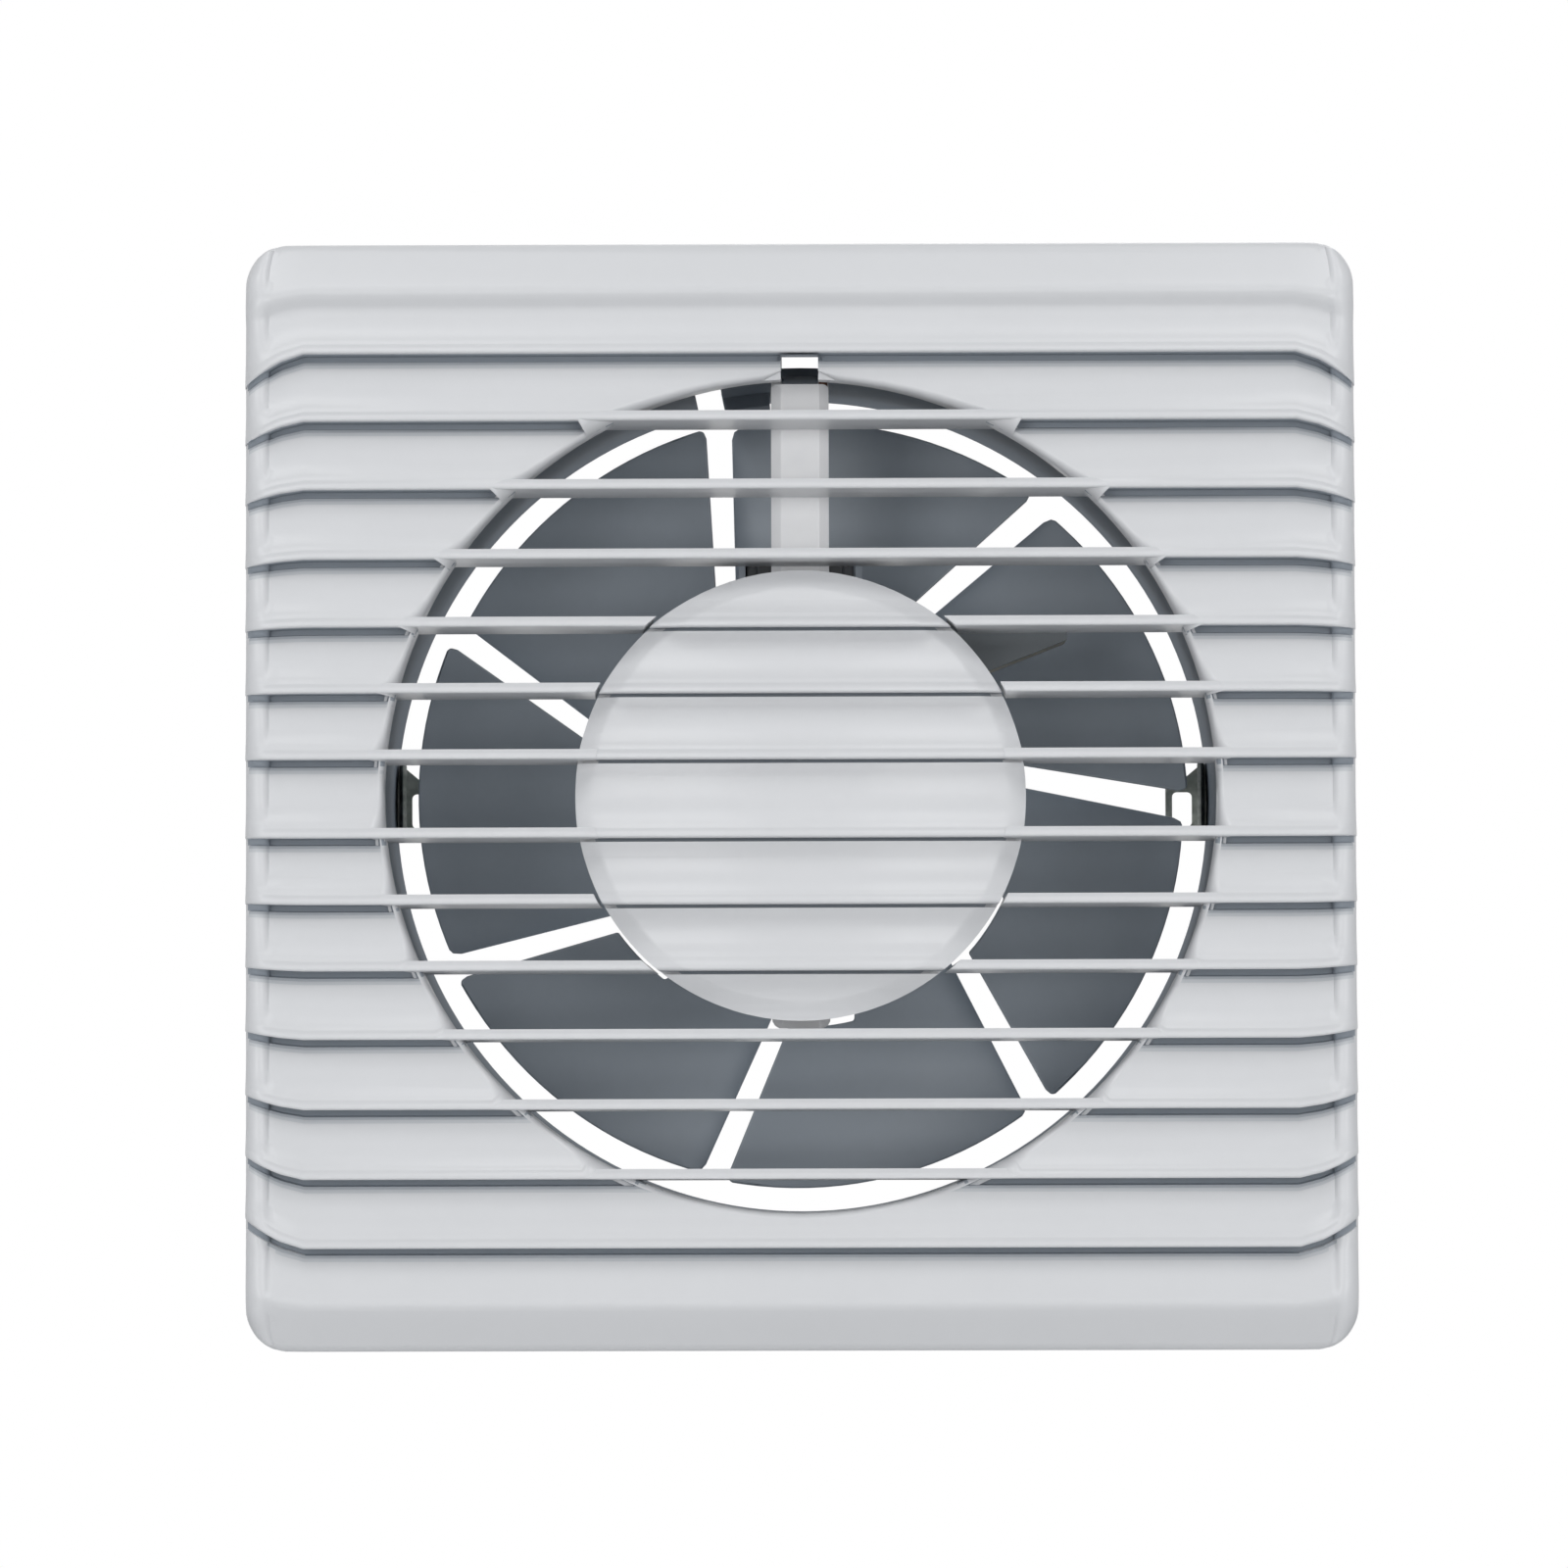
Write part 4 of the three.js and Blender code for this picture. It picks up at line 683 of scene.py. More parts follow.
@dataclass(frozen=True)
class MouldedPlastic(Finish):
    """A moulded plastic skin: slow ripple, fine grain, pale rubbed edges and a little dust."""

    grain_scale: float = 900.0
    ripple: float = 1.2
    grain_depth: float = 0.006
    coat: float = 0.0
    specular: float = 0.5
    wear: float = 0.25
    wear_scale: float = 350.0
    wear_colour: str = "ffffff"
    dust: float = 0.05
    dust_colour: str = "cfcac0"

    def build(self, effects: SurfaceEffects) -> bpy.types.Material:
        """Makes the material.

        Args:
            effects: The shared node groups.

        Returns:
            The material.
        """
        material, desk, shader, mottle = self.start(effects)
        wear = effects.place(desk, "edge_wear", amount=self.wear, scale=self.wear_scale)
        dust = effects.place(desk, "settled_dust", amount=self.dust)
        worn = desk.mix(wear.outputs["Mask"], mottle.outputs["Colour"], srgb(self.wear_colour))
        dusty = desk.mix(dust.outputs["Mask"], worn, srgb(self.dust_colour))
        desk.join(dusty, shader.inputs["Base Color"])
        rough = desk.math("MULTIPLY_ADD", dust.outputs["Mask"], DUST_DULLING,
                          mottle.outputs["Roughness"], clamp=True)
        desk.join(rough, shader.inputs["Roughness"])
        shader.inputs["Coat Weight"].default_value = self.coat
        shader.inputs["Coat Roughness"].default_value = COAT_ROUGHNESS
        shader.inputs["Specular IOR Level"].default_value = self.specular
        grain = effects.place(desk, "grain", scale=self.grain_scale, ripple=self.ripple)
        self.emboss(desk, shader, grain.outputs["Height"], self.grain_depth)
        return material


@dataclass(frozen=True)
class WorkedMetal(Finish):
    """A rolled, drawn or turned metal: fine lines, bright worn edges and faint staining."""

    stretch: Point = (1.0, 1.0, 1.0)
    line_scale: float = 1500.0
    line_depth: float = 0.004
    wear: float = 0.5
    wear_scale: float = 500.0
    wear_colour: str = "d8d8d6"

    def build(self, effects: SurfaceEffects) -> bpy.types.Material:
        """Makes the material.

        Args:
            effects: The shared node groups.

        Returns:
            The material.
        """
        material, desk, shader, mottle = self.start(effects)
        lines = effects.place(desk, "brushing", stretch=self.stretch, scale=self.line_scale)
        wear = effects.place(desk, "edge_wear", amount=self.wear, scale=self.wear_scale)
        worn = desk.mix(wear.outputs["Mask"], mottle.outputs["Colour"], srgb(self.wear_colour))
        desk.join(worn, shader.inputs["Base Color"])
        rough = desk.math("MULTIPLY_ADD", lines.outputs["Mask"], LINE_DULLING,
                          mottle.outputs["Roughness"], clamp=True)
        desk.join(rough, shader.inputs["Roughness"])
        shader.inputs["Metallic"].default_value = 1.0
        self.emboss(desk, shader, lines.outputs["Height"], self.line_depth)
        return material


@dataclass(frozen=True)
class LayeredSurface(Finish):
    """A stack of sheets or turns of tape that show as bands along one axis."""

    direction: Point = (0.0, 1.0, 0.0)
    pitch: float = 0.5
    unevenness: float = 0.3
    depth: float = 0.12
    other_colour: str = "8a867a"
    contrast: float = 0.5
    metallic: float = 0.0

    def build(self, effects: SurfaceEffects) -> bpy.types.Material:
        """Makes the material.

        Args:
            effects: The shared node groups.

        Returns:
            The material.
        """
        material, desk, shader, mottle = self.start(effects)
        desk.join(mottle.outputs["Roughness"], shader.inputs["Roughness"])
        layers = effects.place(desk, "layers", direction=self.direction, pitch=self.pitch * MM,
                               unevenness=self.unevenness)
        facing = desk.dot(desk.geometry("Normal"), Vector(self.direction).normalized())
        straight = desk.math("ABSOLUTE", facing)
        sideways = desk.math("SUBTRACT", 1.0, straight, clamp=True)
        share = desk.product(layers.outputs["Mask"], sideways, self.contrast)
        banded = desk.mix(share, mottle.outputs["Colour"], srgb(self.other_colour))
        desk.join(banded, shader.inputs["Base Color"])
        shader.inputs["Metallic"].default_value = self.metallic
        self.emboss(desk, shader, layers.outputs["Height"], self.depth)
        return material


COVER_FINISH = MouldedPlastic(
    "cover_gloss_white", Slot.COVER, "d4d5d7", 0.38, coat=0.12, wear=0.1, dust=0.02,
    wear_colour="e6e7e8", grain_depth=0.004, mottle=0.012)
# Painted shade: these three greys, darkest first, paint the shade that falls in the crease under
# each lip of the white cover.
CREASE_SHADE_FINISH = MouldedPlastic(
    "cover_crease_painted_shade", Slot.COVER, "9ba2aa", 0.6, specular=0.2, wear=0.0, dust=0.1,
    grain_depth=0.004, mottle=0.03)
CREASE_SHADE_EDGE_FINISH = MouldedPlastic(
    "cover_crease_edge_painted_shade", Slot.COVER, "b1b5ba", 0.5, specular=0.3, wear=0.0, dust=0.05,
    grain_depth=0.004, mottle=0.02)
CREASE_SHADE_FADE_FINISH = MouldedPlastic(
    "cover_crease_fade_painted_shade", Slot.COVER, "c6c9cc", 0.45, specular=0.4, wear=0.0, dust=0.03,
    grain_depth=0.004, mottle=0.015)
ARM_FINISH = MouldedPlastic(
    "arm_satin_white", Slot.ARM, "fbfbfc", 0.38, coat=0.1, wear=0.5, dust=0.03,
    grain_depth=0.004, mottle=0.012)
DUCT_FINISH = MouldedPlastic(
    "duct_mid_grey", Slot.DUCT, "868e97", 0.65, specular=0.06, wear=0.2, wear_colour="9aa1a8",
    dust_colour="878c91", mottle=0.04)
BLADE_FINISH = MouldedPlastic(
    "blade_slate_grey", Slot.BLADE, "adb6bf", 0.42, coat=0.05, wear=0.2, wear_colour="b9c0c6",
    dust=0.04, dust_colour="b0b1b1", mottle=0.05, mottle_scale=30.0)
BOBBIN_FINISH = MouldedPlastic("bobbin_slate", Slot.BOBBIN, "9aa2ab", 0.5, wear=0.2,
                               wear_colour="b4bac1")
TERMINAL_FINISH = MouldedPlastic("terminal_off_white", Slot.TERMINAL, "e4e2da", 0.42,
                                 grain_scale=1400.0, wear=0.1)
LIVE_FINISH = MouldedPlastic("lead_brown", Slot.LIVE, "6b3f24", 0.4, grain_scale=2200.0,
                             wear=0.0)
NEUTRAL_FINISH = MouldedPlastic("lead_blue", Slot.NEUTRAL, "2f5fa8", 0.4, grain_scale=2200.0,
                                wear=0.0)
FIBRE_FINISH = MouldedPlastic(
    "washer_fibre", Slot.FIBRE, "7d4430", 0.75, grain_scale=3000.0, grain_depth=0.02,
    mottle=0.1, wear=0.1, wear_colour="a8785f")
SPRING_FINISH = WorkedMetal("clip_galvanised", Slot.SPRING, "8b918b", 0.38, mottle=0.12,
                            mottle_scale=160.0, stretch=(1.0, 0.08, 1.0))
BRIGHT_FINISH = WorkedMetal("bright_steel", Slot.BRIGHT, "b8babc", 0.26, mottle=0.05,
                            stretch=(1.0, 0.1, 1.0))
CAST_FINISH = WorkedMetal("cast_alloy", Slot.CAST, "9fa2a4", 0.5, mottle=0.08,
                          mottle_scale=220.0, line_scale=700.0, line_depth=0.03, wear=0.35)
BRONZE_FINISH = WorkedMetal(
    "sintered_bronze", Slot.BRONZE, "a67c52", 0.5, mottle=0.12, mottle_scale=400.0,
    line_scale=2600.0, line_depth=0.02, wear_colour="d7b48a")
COPPER_FINISH = WorkedMetal("shading_copper", Slot.COPPER, "b87348", 0.35, mottle=0.1,
                            mottle_scale=200.0, wear_colour="e0a27c")
BRASS_FINISH = WorkedMetal("turned_brass", Slot.BRASS, "c9a54e", 0.3, mottle=0.06,
                           wear_colour="efd68e")
CORE_FINISH = LayeredSurface(
    "core_stack", Slot.CORE, "5a6064", 0.45, depth=0.1, contrast=1.5, other_colour="ddd3bf",
    metallic=0.2, mottle=0.1, mottle_scale=200.0)
TAPE_FINISH = LayeredSurface(
    "coil_tape", Slot.TAPE, "2c2f33", 0.5, direction=(1.0, 0.12, 0.0), pitch=3.1, depth=0.25,
    contrast=0.25, other_colour="4a4e55", unevenness=0.5)


class FinishLibrary:
    """Builds each finish once and hands out its material."""

    def __init__(self) -> None:
        """Starts with no materials."""
        self._effects = SurfaceEffects()
        self._built: dict[str, bpy.types.Material] = {}

    def get(self, finish: Finish) -> bpy.types.Material:
        """Gives a finish's material.

        Args:
            finish: The finish.

        Returns:
            Its material.
        """
        if finish.name not in self._built:
            self._built[finish.name] = finish.build(self._effects)
        return self._built[finish.name]


# ---- sub-assemblies


@dataclass
class SubAssembly:
    """What every sub-assembly can do with its pieces."""

    finishes: FinishLibrary
    body: Body

    def dress(self, piece: Piece, finish: Finish, *nodes: str) -> Piece:
        """Gives a piece its material and body, and hides the frame's nodes that it stands for.

        Args:
            piece: The piece.
            finish: Its finish.
            nodes: The frame's nodes that it replaces.

        Returns:
            The piece.
        """
        piece.data.materials.clear()
        piece.data.materials.append(self.finishes.get(finish))
        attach(piece, self.body.value)
        for node in nodes:
            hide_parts(node)
        LOG.info("%s rides on %s", piece.name, self.body.value)
        return piece

    def form(self, draft: MeshDraft, name: str, finish: Finish, *nodes: str,
             cuts: Sequence[MeshDraft] = (), rounding: float = 0.0,
             degrees: float = 40.0) -> Piece:
        """Makes a draft's piece, cuts it, rounds its edges and dresses it.

        Args:
            draft: Its mesh.
            name: Its name.
            finish: Its finish.
            nodes: The frame's nodes that it replaces.
            cuts: What is cut away from it.
            rounding: The width of its edges' rounding, 0 for none.
            degrees: Edges that turn by more than this are rounded.

        Returns:
            The piece.
        """
        piece = draft.make(name)
        for cut in cuts:
            cut_away(piece, cut)
        if rounding:
            soften(piece, rounding, degrees)
        return self.dress(piece, finish, *nodes)


@dataclass
class FrontCover(SubAssembly):
    """The louvred cover with its round inlet, slats and centre disc.

    Heights count from the axis, and depths count back from the lips' fronts.
    """

    size: float = 158.0
    corner: float = 6.2
    depth: float = 22.0
    wall: float = 2.2
    wall_taper: float = 0.1
    back: float = -0.5
    inside_depth: float = 9.0
    inside_half: Flat = (73.3, 70.4)
    side_round: float = 3.5
    side_relief: float = 0.95
    flat_step: float = 0.9
    lip_heights: tuple[float, ...] = (
        62.82, 53.21, 43.46, 33.56, 23.92, 14.53, 5.12, -6.01, -15.45, -24.86, -34.57, -44.49,
        -54.36, -64.1,
    )
    plain_edge: float = 8.0
    step: float = 2.4
    groove_fade: float = 0.6
    face_thickness: float = 2.0
    bend: float = 4.7
    bend_width: float = 8.5
    bend_power: float = 2.25
    bend_ease: float = 1.5
    bend_lead: float = 3.2
    inlet: float = 59.3
    inlet_margin: float = 0.5
    flare: float = 2.7
    flare_depth: float = 3.4
    rim_wall: float = 1.5
    rim_depth: float = 8.0
    slat_depth: float = 10.5
    slat_overlap: float = 0.3
    disc: float = 32.05
    disc_bevel: float = 2.9
    disc_bevel_depth: float = 1.6
    disc_slit: float = 0.5
    disc_seat: float = 0.4
    disc_groove: float = 3.6
    disc_groove_drop: float = 0.31
    disc_groove_half: float = 0.22
    notch_half: float = 2.65
    notch_drop: float = 0.3
    notch_reach: float = 2.9
    tongue_offset: float = 45.0
    tongue_width: float = 8.0
    tongue_thickness: float = 1.8
    tongue_depth: float = 9.5
    crease_degrees: float = 38.0
    crease_slack: float = 0.03
    crease_back: float = 4.3
    crease_side_front: float = 1.1
    crease_side_strip: float = 0.6

    WRAP: ClassVar[tuple[int, ...]] = (90, 78, 66, 54, 42, 31, 20, 10)
    INLET_TURNS: ClassVar[tuple[float, ...]] = (*range(0, 84, 3), 84, 85.5, 87, 88, 88.8, 89.4)
    DISC_TURNS: ClassVar[tuple[float, ...]] = (*range(0, 84, 4), 84, 86, 87.5, 88.7, 89.5, 90)
    DISC_GROOVE_ROWS: ClassVar[tuple[float, ...]] = (-0.25, -0.21, 0.21, 0.24)
    HAIR: ClassVar[float] = 0.004
    NEAR: ClassVar[float] = 0.02
    ROW_GAP: ClassVar[float] = 0.09
    DISC_ROW_GAP: ClassVar[float] = 0.03
    OUTLINE_STEPS: ClassVar[int] = 180
    RIM_STEPS: ClassVar[int] = 144
    FILLET_STEPS: ClassVar[int] = 6
    HALVINGS: ClassVar[int] = 40
    RISE: ClassVar[Profile] = (
        (6.5, 2.38), (5.0, 2.2), (3.8, 1.9), (2.8, 1.48), (2.1, 1.07),
    )
    LIP: ClassVar[Profile] = (
        (1.75, 0.84), (1.45, 0.74), (1.25, 0.6), (1.0, 0.36), (0.78, 0.2), (0.55, 0.08),
        (0.35, 0.01), (0.18, 0.03), (0.06, 0.14), (0.0, 0.34),
    )
    ROOT: ClassVar[Profile] = (
        (-0.03, 1.2), (-0.06, 4.0), (-0.16, 4.15), (-0.85, 4.15), (-0.95, 3.9), (-1.05, 2.85),
        (-1.45, 2.6), (-1.95, 2.44), (-2.4, 2.36),
    )
    BROW: ClassVar[Profile] = (
        (79.0, 7.3), (78.96, 6.2), (78.8, 5.25), (78.4, 4.4), (77.8, 4.09), (77.1, 3.73),
        (76.4, 3.36), (75.6, 2.95), (74.6, 2.43), (73.6, 1.92), (72.7, 1.45), (72.2, 1.24),
        (71.7, 1.16), (71.2, 1.28), (70.5, 1.66), (69.9, 2.1),
    )
    CHIN: ClassVar[Profile] = (
        (-71.0, 1.4), (-71.8, 1.2), (-72.5, 1.25), (-73.1, 1.5), (-74.0, 1.96), (-74.9, 2.46),
        (-75.8, 2.95), (-76.5, 3.34), (-77.2, 3.73), (-77.8, 4.07), (-78.4, 4.4),
        (-78.8, 5.25), (-78.96, 6.2), (-79.0, 7.3),
    )
    # Painted shade under each lip: the band's finish, then where it starts and ends below the
    # lip's edge.
    CREASE_SHADES: ClassVar[tuple[tuple[Finish, float, float], ...]] = (
        (CREASE_SHADE_FINISH, 0.03, 1.05), (CREASE_SHADE_EDGE_FINISH, 1.05, 1.45),
        (CREASE_SHADE_FADE_FINISH, 1.45, 1.95),
    )

    @property
    def half(self) -> float:
        """Gives half the face's size."""
        return self.size / 2

    @property
    def face_back(self) -> float:
        """Gives where the back of the louvred face is along the axis."""
        return -self.depth + self.step + self.face_thickness

    def profile(self) -> list[Flat]:
        """Gives the face as (height, depth), from the top down."""
        points = list(self.BROW)
        for height in self.lip_heights:
            points.extend((height + rise, depth)
                          for rise, depth in (*self.RISE, *self.LIP, *self.ROOT))
        points.extend(self.CHIN)
        return points

    def depth_at(self, height: float) -> float:
        """Gives the face's depth at a height.

        Args:
            height: The height.

        Returns:
            The depth.
        """
        points = self.profile()
        for (high, first), (low, second) in zip(points, points[1:]):
            if low <= height <= high:
                share = 0.0 if high == low else (high - height) / (high - low)
                return first + (second - first) * share
        return points[-1][1]

    def edge_depth(self, height: float) -> float:
        """Gives the face's depth at the opening, where the grooves run out."""
        return min(self.depth_at(height), self.step)

    def flare_radius(self, depth: float) -> float:
        """Gives the flared inlet's radius at a depth."""
        return self.inlet + self.flare * max(0.0, 1 - depth / self.flare_depth)

    def opening_half(self, height: float) -> float:
        """Gives half the opening's width at a height, the cable notch included.

        Args:
            height: The height.

        Returns:
            Half the width, 0 where the face is whole.
        """
        half = chord(self.flare_radius(self.edge_depth(height)), height)
        if 0 < height <= self.notch_top:
            return max(half, self.notch_half)
        return half

    @property
    def notch_top(self) -> float:
        """Gives the upper end of the cable notch."""
        return self.lip_heights[0] - self.notch_drop

    def bottom_of_opening(self) -> float:
        """Finds the height at which the flared opening ends at the bottom."""
        low, high = -self.inlet - self.flare, -self.inlet + 1
        for _ in range(self.HALVINGS):
            middle = (low + high) / 2
            if self.flare_radius(self.edge_depth(middle)) > -middle:
                high = middle
            else:
                low = middle
        return low

    def face_heights(self) -> list[float]:
        """Lists the heights of the face's rows, from the top down."""
        profile = {height for height, _ in self.profile()}
        radius = self.inlet + self.flare
        rises = [radius * math.sin(math.radians(turn)) for turn in self.INLET_TURNS]
        special = {self.notch_top + self.HAIR, self.notch_top, self.bottom_of_opening()}
        spaced = {height for height in profile.union(rises, (-rise for rise in rises))
                  if min(abs(height - place) for place in special) > self.NEAR}
        rows = []
        for height in sorted(spaced | special, reverse=True):
            near = rows and rows[-1] - height < self.ROW_GAP
            if not near or height in profile or height in special:
                rows.append(height)
        return rows

    def bent(self, height: float, across: float) -> float:
        """Gives a height after the lips' ends bend towards the middle.

        Args:
            height: The height away from the sides.
            across: How far from the axis the point is.

        Returns:
            The height there.
        """
        share = (abs(across) - (self.half - self.bend_width)) / self.bend_width
        share = max(0.0, min(1.0, share))
        outer = self.lip_heights[0]
        reach = abs(height)
        if reach <= outer:
            amount = (reach / outer) ** self.bend_power
        else:
            amount = (self.half - reach) / (self.half - outer)
        return height - math.copysign(self.bend * amount, height) * share**self.bend_ease

    def rounded(self, across: float, height: float) -> Flat:
        """Moves a point of the square face onto the face with rounded corners.

        Args:
            across: Its place across.
            height: Its height.

        Returns:
            The moved place.
        """
        start = self.half - self.corner
        first = (abs(across) - start) / self.corner
        second = (abs(height) - start) / self.corner
        if first <= 0 or second <= 0:
            return across, height
        moved_first = first * math.sqrt(max(0.0, 1 - second**2 / 2))
        moved_second = second * math.sqrt(max(0.0, 1 - first**2 / 2))
        return (math.copysign(start + self.corner * moved_first, across),
                math.copysign(start + self.corner * moved_second, height))

    def face_row(self, height: float) -> list[Point]:
        """Makes one row of the face, from its left side to the opening's edge or the middle.

        Args:
            height: The row's height.

        Returns:
            The row's points.
        """
        depth = self.depth_at(height)
        grooved = abs(height) < self.half - self.plain_edge
        groove = max(0.0, depth - self.step) if grooved else 0.0
        relief = min(depth, self.step)
        edge = self.half - self.side_round
        row = []
        for degrees in self.WRAP:
            sine, cosine = math.sin(math.radians(degrees)), math.cos(math.radians(degrees))
            radius = (self.side_round - relief * (1 - self.side_relief * sine)
                      - self.groove_fade * groove * cosine)
            across = edge + radius * sine
            back = -self.depth + self.side_round - radius * cosine + depth - relief - groove
            row.append((across, back, self.bent(height, across)))
        inner = self.half - self.bend_width
        near = inner - self.bend_lead
        opening = self.opening_half(height)
        rest = near - opening - self.inlet_margin
        flats = (edge, edge - self.flat_step, edge - 2 * self.flat_step, inner, near,
                 near - rest / 2, opening + self.inlet_margin)
        row.extend((across, -self.depth + depth, self.bent(height, across)) for across in flats)
        row.append((opening, -self.depth + (self.edge_depth(height) if opening else depth),
                    height))
        placed = []
        for across, back, rise in row:
            moved, lifted = self.rounded(across, rise)
            placed.append((-moved, back, lifted))
        return placed

    def shell(self, draft: MeshDraft) -> None:
        """Makes the face, the sides and the inside as one skin.

        Args:
            draft: Where it goes.
        """
        left = [self.face_row(height) for height in self.face_heights()]
        right = [mirrored(row) for row in left]
        draft.twin_grid(right)
        loop = [*right[0], *reversed(left[0][:-1]), *(row[0] for row in left[1:-1]), *left[-1],
                *reversed(right[-1][:-1]), *(row[0] for row in reversed(right[1:-1]))]
        inside = self.half - self.wall
        sections = (
            (self.half, self.half, self.back), (inside, inside, self.back),
            (inside - self.wall_taper, inside - self.wall_taper, -self.depth + self.inside_depth),
            (*self.inside_half, self.face_back),
        )
        rings = [loop]
        for wide, high, along in sections:
            shares = wide / self.half, high / self.half
            rings.append([(across * shares[0], along, up * shares[1]) for across, _, up in loop])
        draft.loft(rings, caps=False)
        rim = self.inlet + self.rim_wall
        gap = math.degrees(math.asin(self.notch_half / rim))
        hole = [(self.notch_half, self.notch_top), (-self.notch_half, self.notch_top),
                *arc(rim, 90 + gap, 360 - 2 * gap, self.OUTLINE_STEPS)]
        outline = [(across, up) for across, _, up in rings[-1]]
        filled = tessellate_polygon([[Vector((*point, 0.0)) for point in ring]
                                     for ring in (outline, hole)])
        corners = draft.add((across, self.face_back, up) for across, up in (*outline, *hole))
        draft.faces.extend(tuple(corners[corner] for corner in triangle) for triangle in filled)

    def flare_wall(self, draft: MeshDraft) -> None:
        """Makes the flared wall from the face's edge back to the inlet.

        Args:
            draft: Where it goes.
        """
        seat = -self.depth + self.flare_depth
        ends = (self.notch_top + self.HAIR, self.bottom_of_opening())
        front, back = [], []
        for height in self.face_heights():
            half, depth = self.opening_half(height), self.edge_depth(height)
            if half <= 0 and height not in ends:
                continue
            front.append((half, -self.depth + depth, height))
            if half == self.notch_half or height > self.flare_radius(depth) - self.NEAR:
                back.append((half, seat, height))
            else:
                reach = math.hypot(half, height)
                back.append((half / reach * self.inlet, seat, height / reach * self.inlet))
        rows = []
        for step in range(self.FILLET_STEPS + 1):
            turn = step / self.FILLET_STEPS * math.pi / 2
            shares = (math.sin(turn), 1 - math.cos(turn), math.sin(turn))
            rows.append([tuple(first + (second - first) * share
                               for first, second, share in zip(near, far, shares))
                         for near, far in zip(front, back)])
        draft.twin_grid(rows)
        half, top, low = self.notch_half, self.notch_top, self.inlet - 0.1
        draft.twin_grid([[(half, seat, low), (half, self.face_back, low)],
                         [(half, seat, top), (half, self.face_back, top)]])
        draft.grid([[(side * half, seat - self.notch_reach, top),
                     (side * half, self.face_back, top)] for side in (-1, 1)])

    def rim(self, draft: MeshDraft) -> None:
        """Makes the short wall behind the inlet's flare, open at the cable notch.

        Args:
            draft: Where it goes.
        """
        start, end = -self.depth + self.flare_depth, -self.depth + self.rim_depth
        inner, outer = self.inlet, self.inlet + self.rim_wall
        profile = [(inner, start), (inner + 0.05, end - 0.4), (inner + 0.35, end),
                   (outer - 0.3, end), (outer, end - 0.3), (outer, start)]
        gap = math.degrees(math.asin(self.notch_half / self.inlet))
        sweep = 360 - 2 * gap
        turns = [math.radians(90 + gap + sweep * index / self.RIM_STEPS)
                 for index in range(self.RIM_STEPS + 1)]
        draft.loft([swung(profile, turn) for turn in turns])

    def slat_section(self, lip: float) -> list[Flat]:
        """Gives a slat's section as (height, depth), its front the same as a lip's.

        Args:
            lip: The height of the lip's lower edge.

        Returns:
            The section's points.
        """
        front = [(lip + rise, depth) for rise, depth in self.LIP[1:]]
        deep = self.slat_depth
        return [*front, (lip, 0.6), (lip - 0.5, deep - 0.25), (lip - 0.25, deep),
                (lip + 0.4, deep), (lip + 0.65, deep - 0.25), (lip + 1.4, 1.0)]

    def slat_end(self, height: float, depth: float) -> float:
        """Gives how far from the axis the end of a slat is at a height and depth.

        Args:
            height: The height.
            depth: The depth.

        Returns:
            The distance across.
        """
        if depth < self.flare_depth:
            return chord(self.flare_radius(depth), height)
        return chord(self.inlet + self.slat_overlap, height)

    def slats(self, draft: MeshDraft) -> None:
        """Makes the slats across the inlet.

        Args:
            draft: Where they go.
        """
        middle = len(self.lip_heights) // 2
        for index, lip in enumerate(self.lip_heights[1:-1], start=1):
            clear = self.disc + self.disc_slit
            if index in (middle - 1, middle):
                clear = self.disc - self.disc_bevel + self.slat_overlap
            outer, inner = [], []
            for height, depth in self.slat_section(lip):
                outer.append((self.slat_end(height, depth), -self.depth + depth, height))
                inner.append((chord(clear, height), -self.depth + depth, height))
            if abs(lip) > clear:
                draft.loft([mirrored(outer), outer])
            else:
                draft.loft([mirrored(outer), mirrored(inner)])
                draft.loft([outer, inner])

    def disc_depth(self, height: float) -> float:
        """Gives the disc's depth at a height, with a narrow groove under each lip.

        Args:
            height: The height.

        Returns:
            The depth.
        """
        middle = height + self.disc_groove_drop
        if min(abs(middle - lip) for lip in self.lip_heights) < self.disc_groove_half:
            return self.disc_groove
        return self.edge_depth(height)

    def centre_disc(self, draft: MeshDraft) -> None:
        """Makes the centre disc: the louvred face inside a bevelled edge.

        Args:
            draft: Where it goes.
        """
        profile = [height for height, _ in self.profile()]
        for lip in self.lip_heights:
            start = lip - self.disc_groove_drop
            profile.extend(start + reach for reach in self.DISC_GROOVE_ROWS)
        heights = [height for height in profile if abs(height) < self.disc - 0.05]
        for turn in self.DISC_TURNS:
            rise = self.disc * math.sin(math.radians(turn))
            heights.extend((rise, -rise))
        flat = self.disc - self.disc_bevel
        rows = []
        for height in sorted(set(heights), reverse=True):
            if rows and rows[-1][0][2] - height < self.DISC_ROW_GAP:
                continue
            outer, inner = chord(self.disc, height), chord(flat, height)
            half = [outer + (inner - outer) * share for share in (0, 0.25, 0.5, 0.75, 1.0)]
            half.extend(inner * share for share in (0.75, 0.5, 0.25, 0.0))
            row = []
            for across in (*(-value for value in half), *reversed(half[:-1])):
                reach = max(0.0, math.hypot(across, height) - flat) / self.disc_bevel
                depth = self.disc_depth(height) + self.disc_bevel_depth * reach
                row.append((across, -self.depth + depth, height))
            rows.append(row)
        draft.grid(rows)
        edge = [row[0] for row in rows] + [row[-1] for row in reversed(rows)][1:-1]
        seat = self.face_back + self.disc_seat
        base = [(across, seat, up) for across, _, up in edge]
        draft.loft([edge, base], caps=False)
        draft.faces.append(tuple(draft.add(base)))

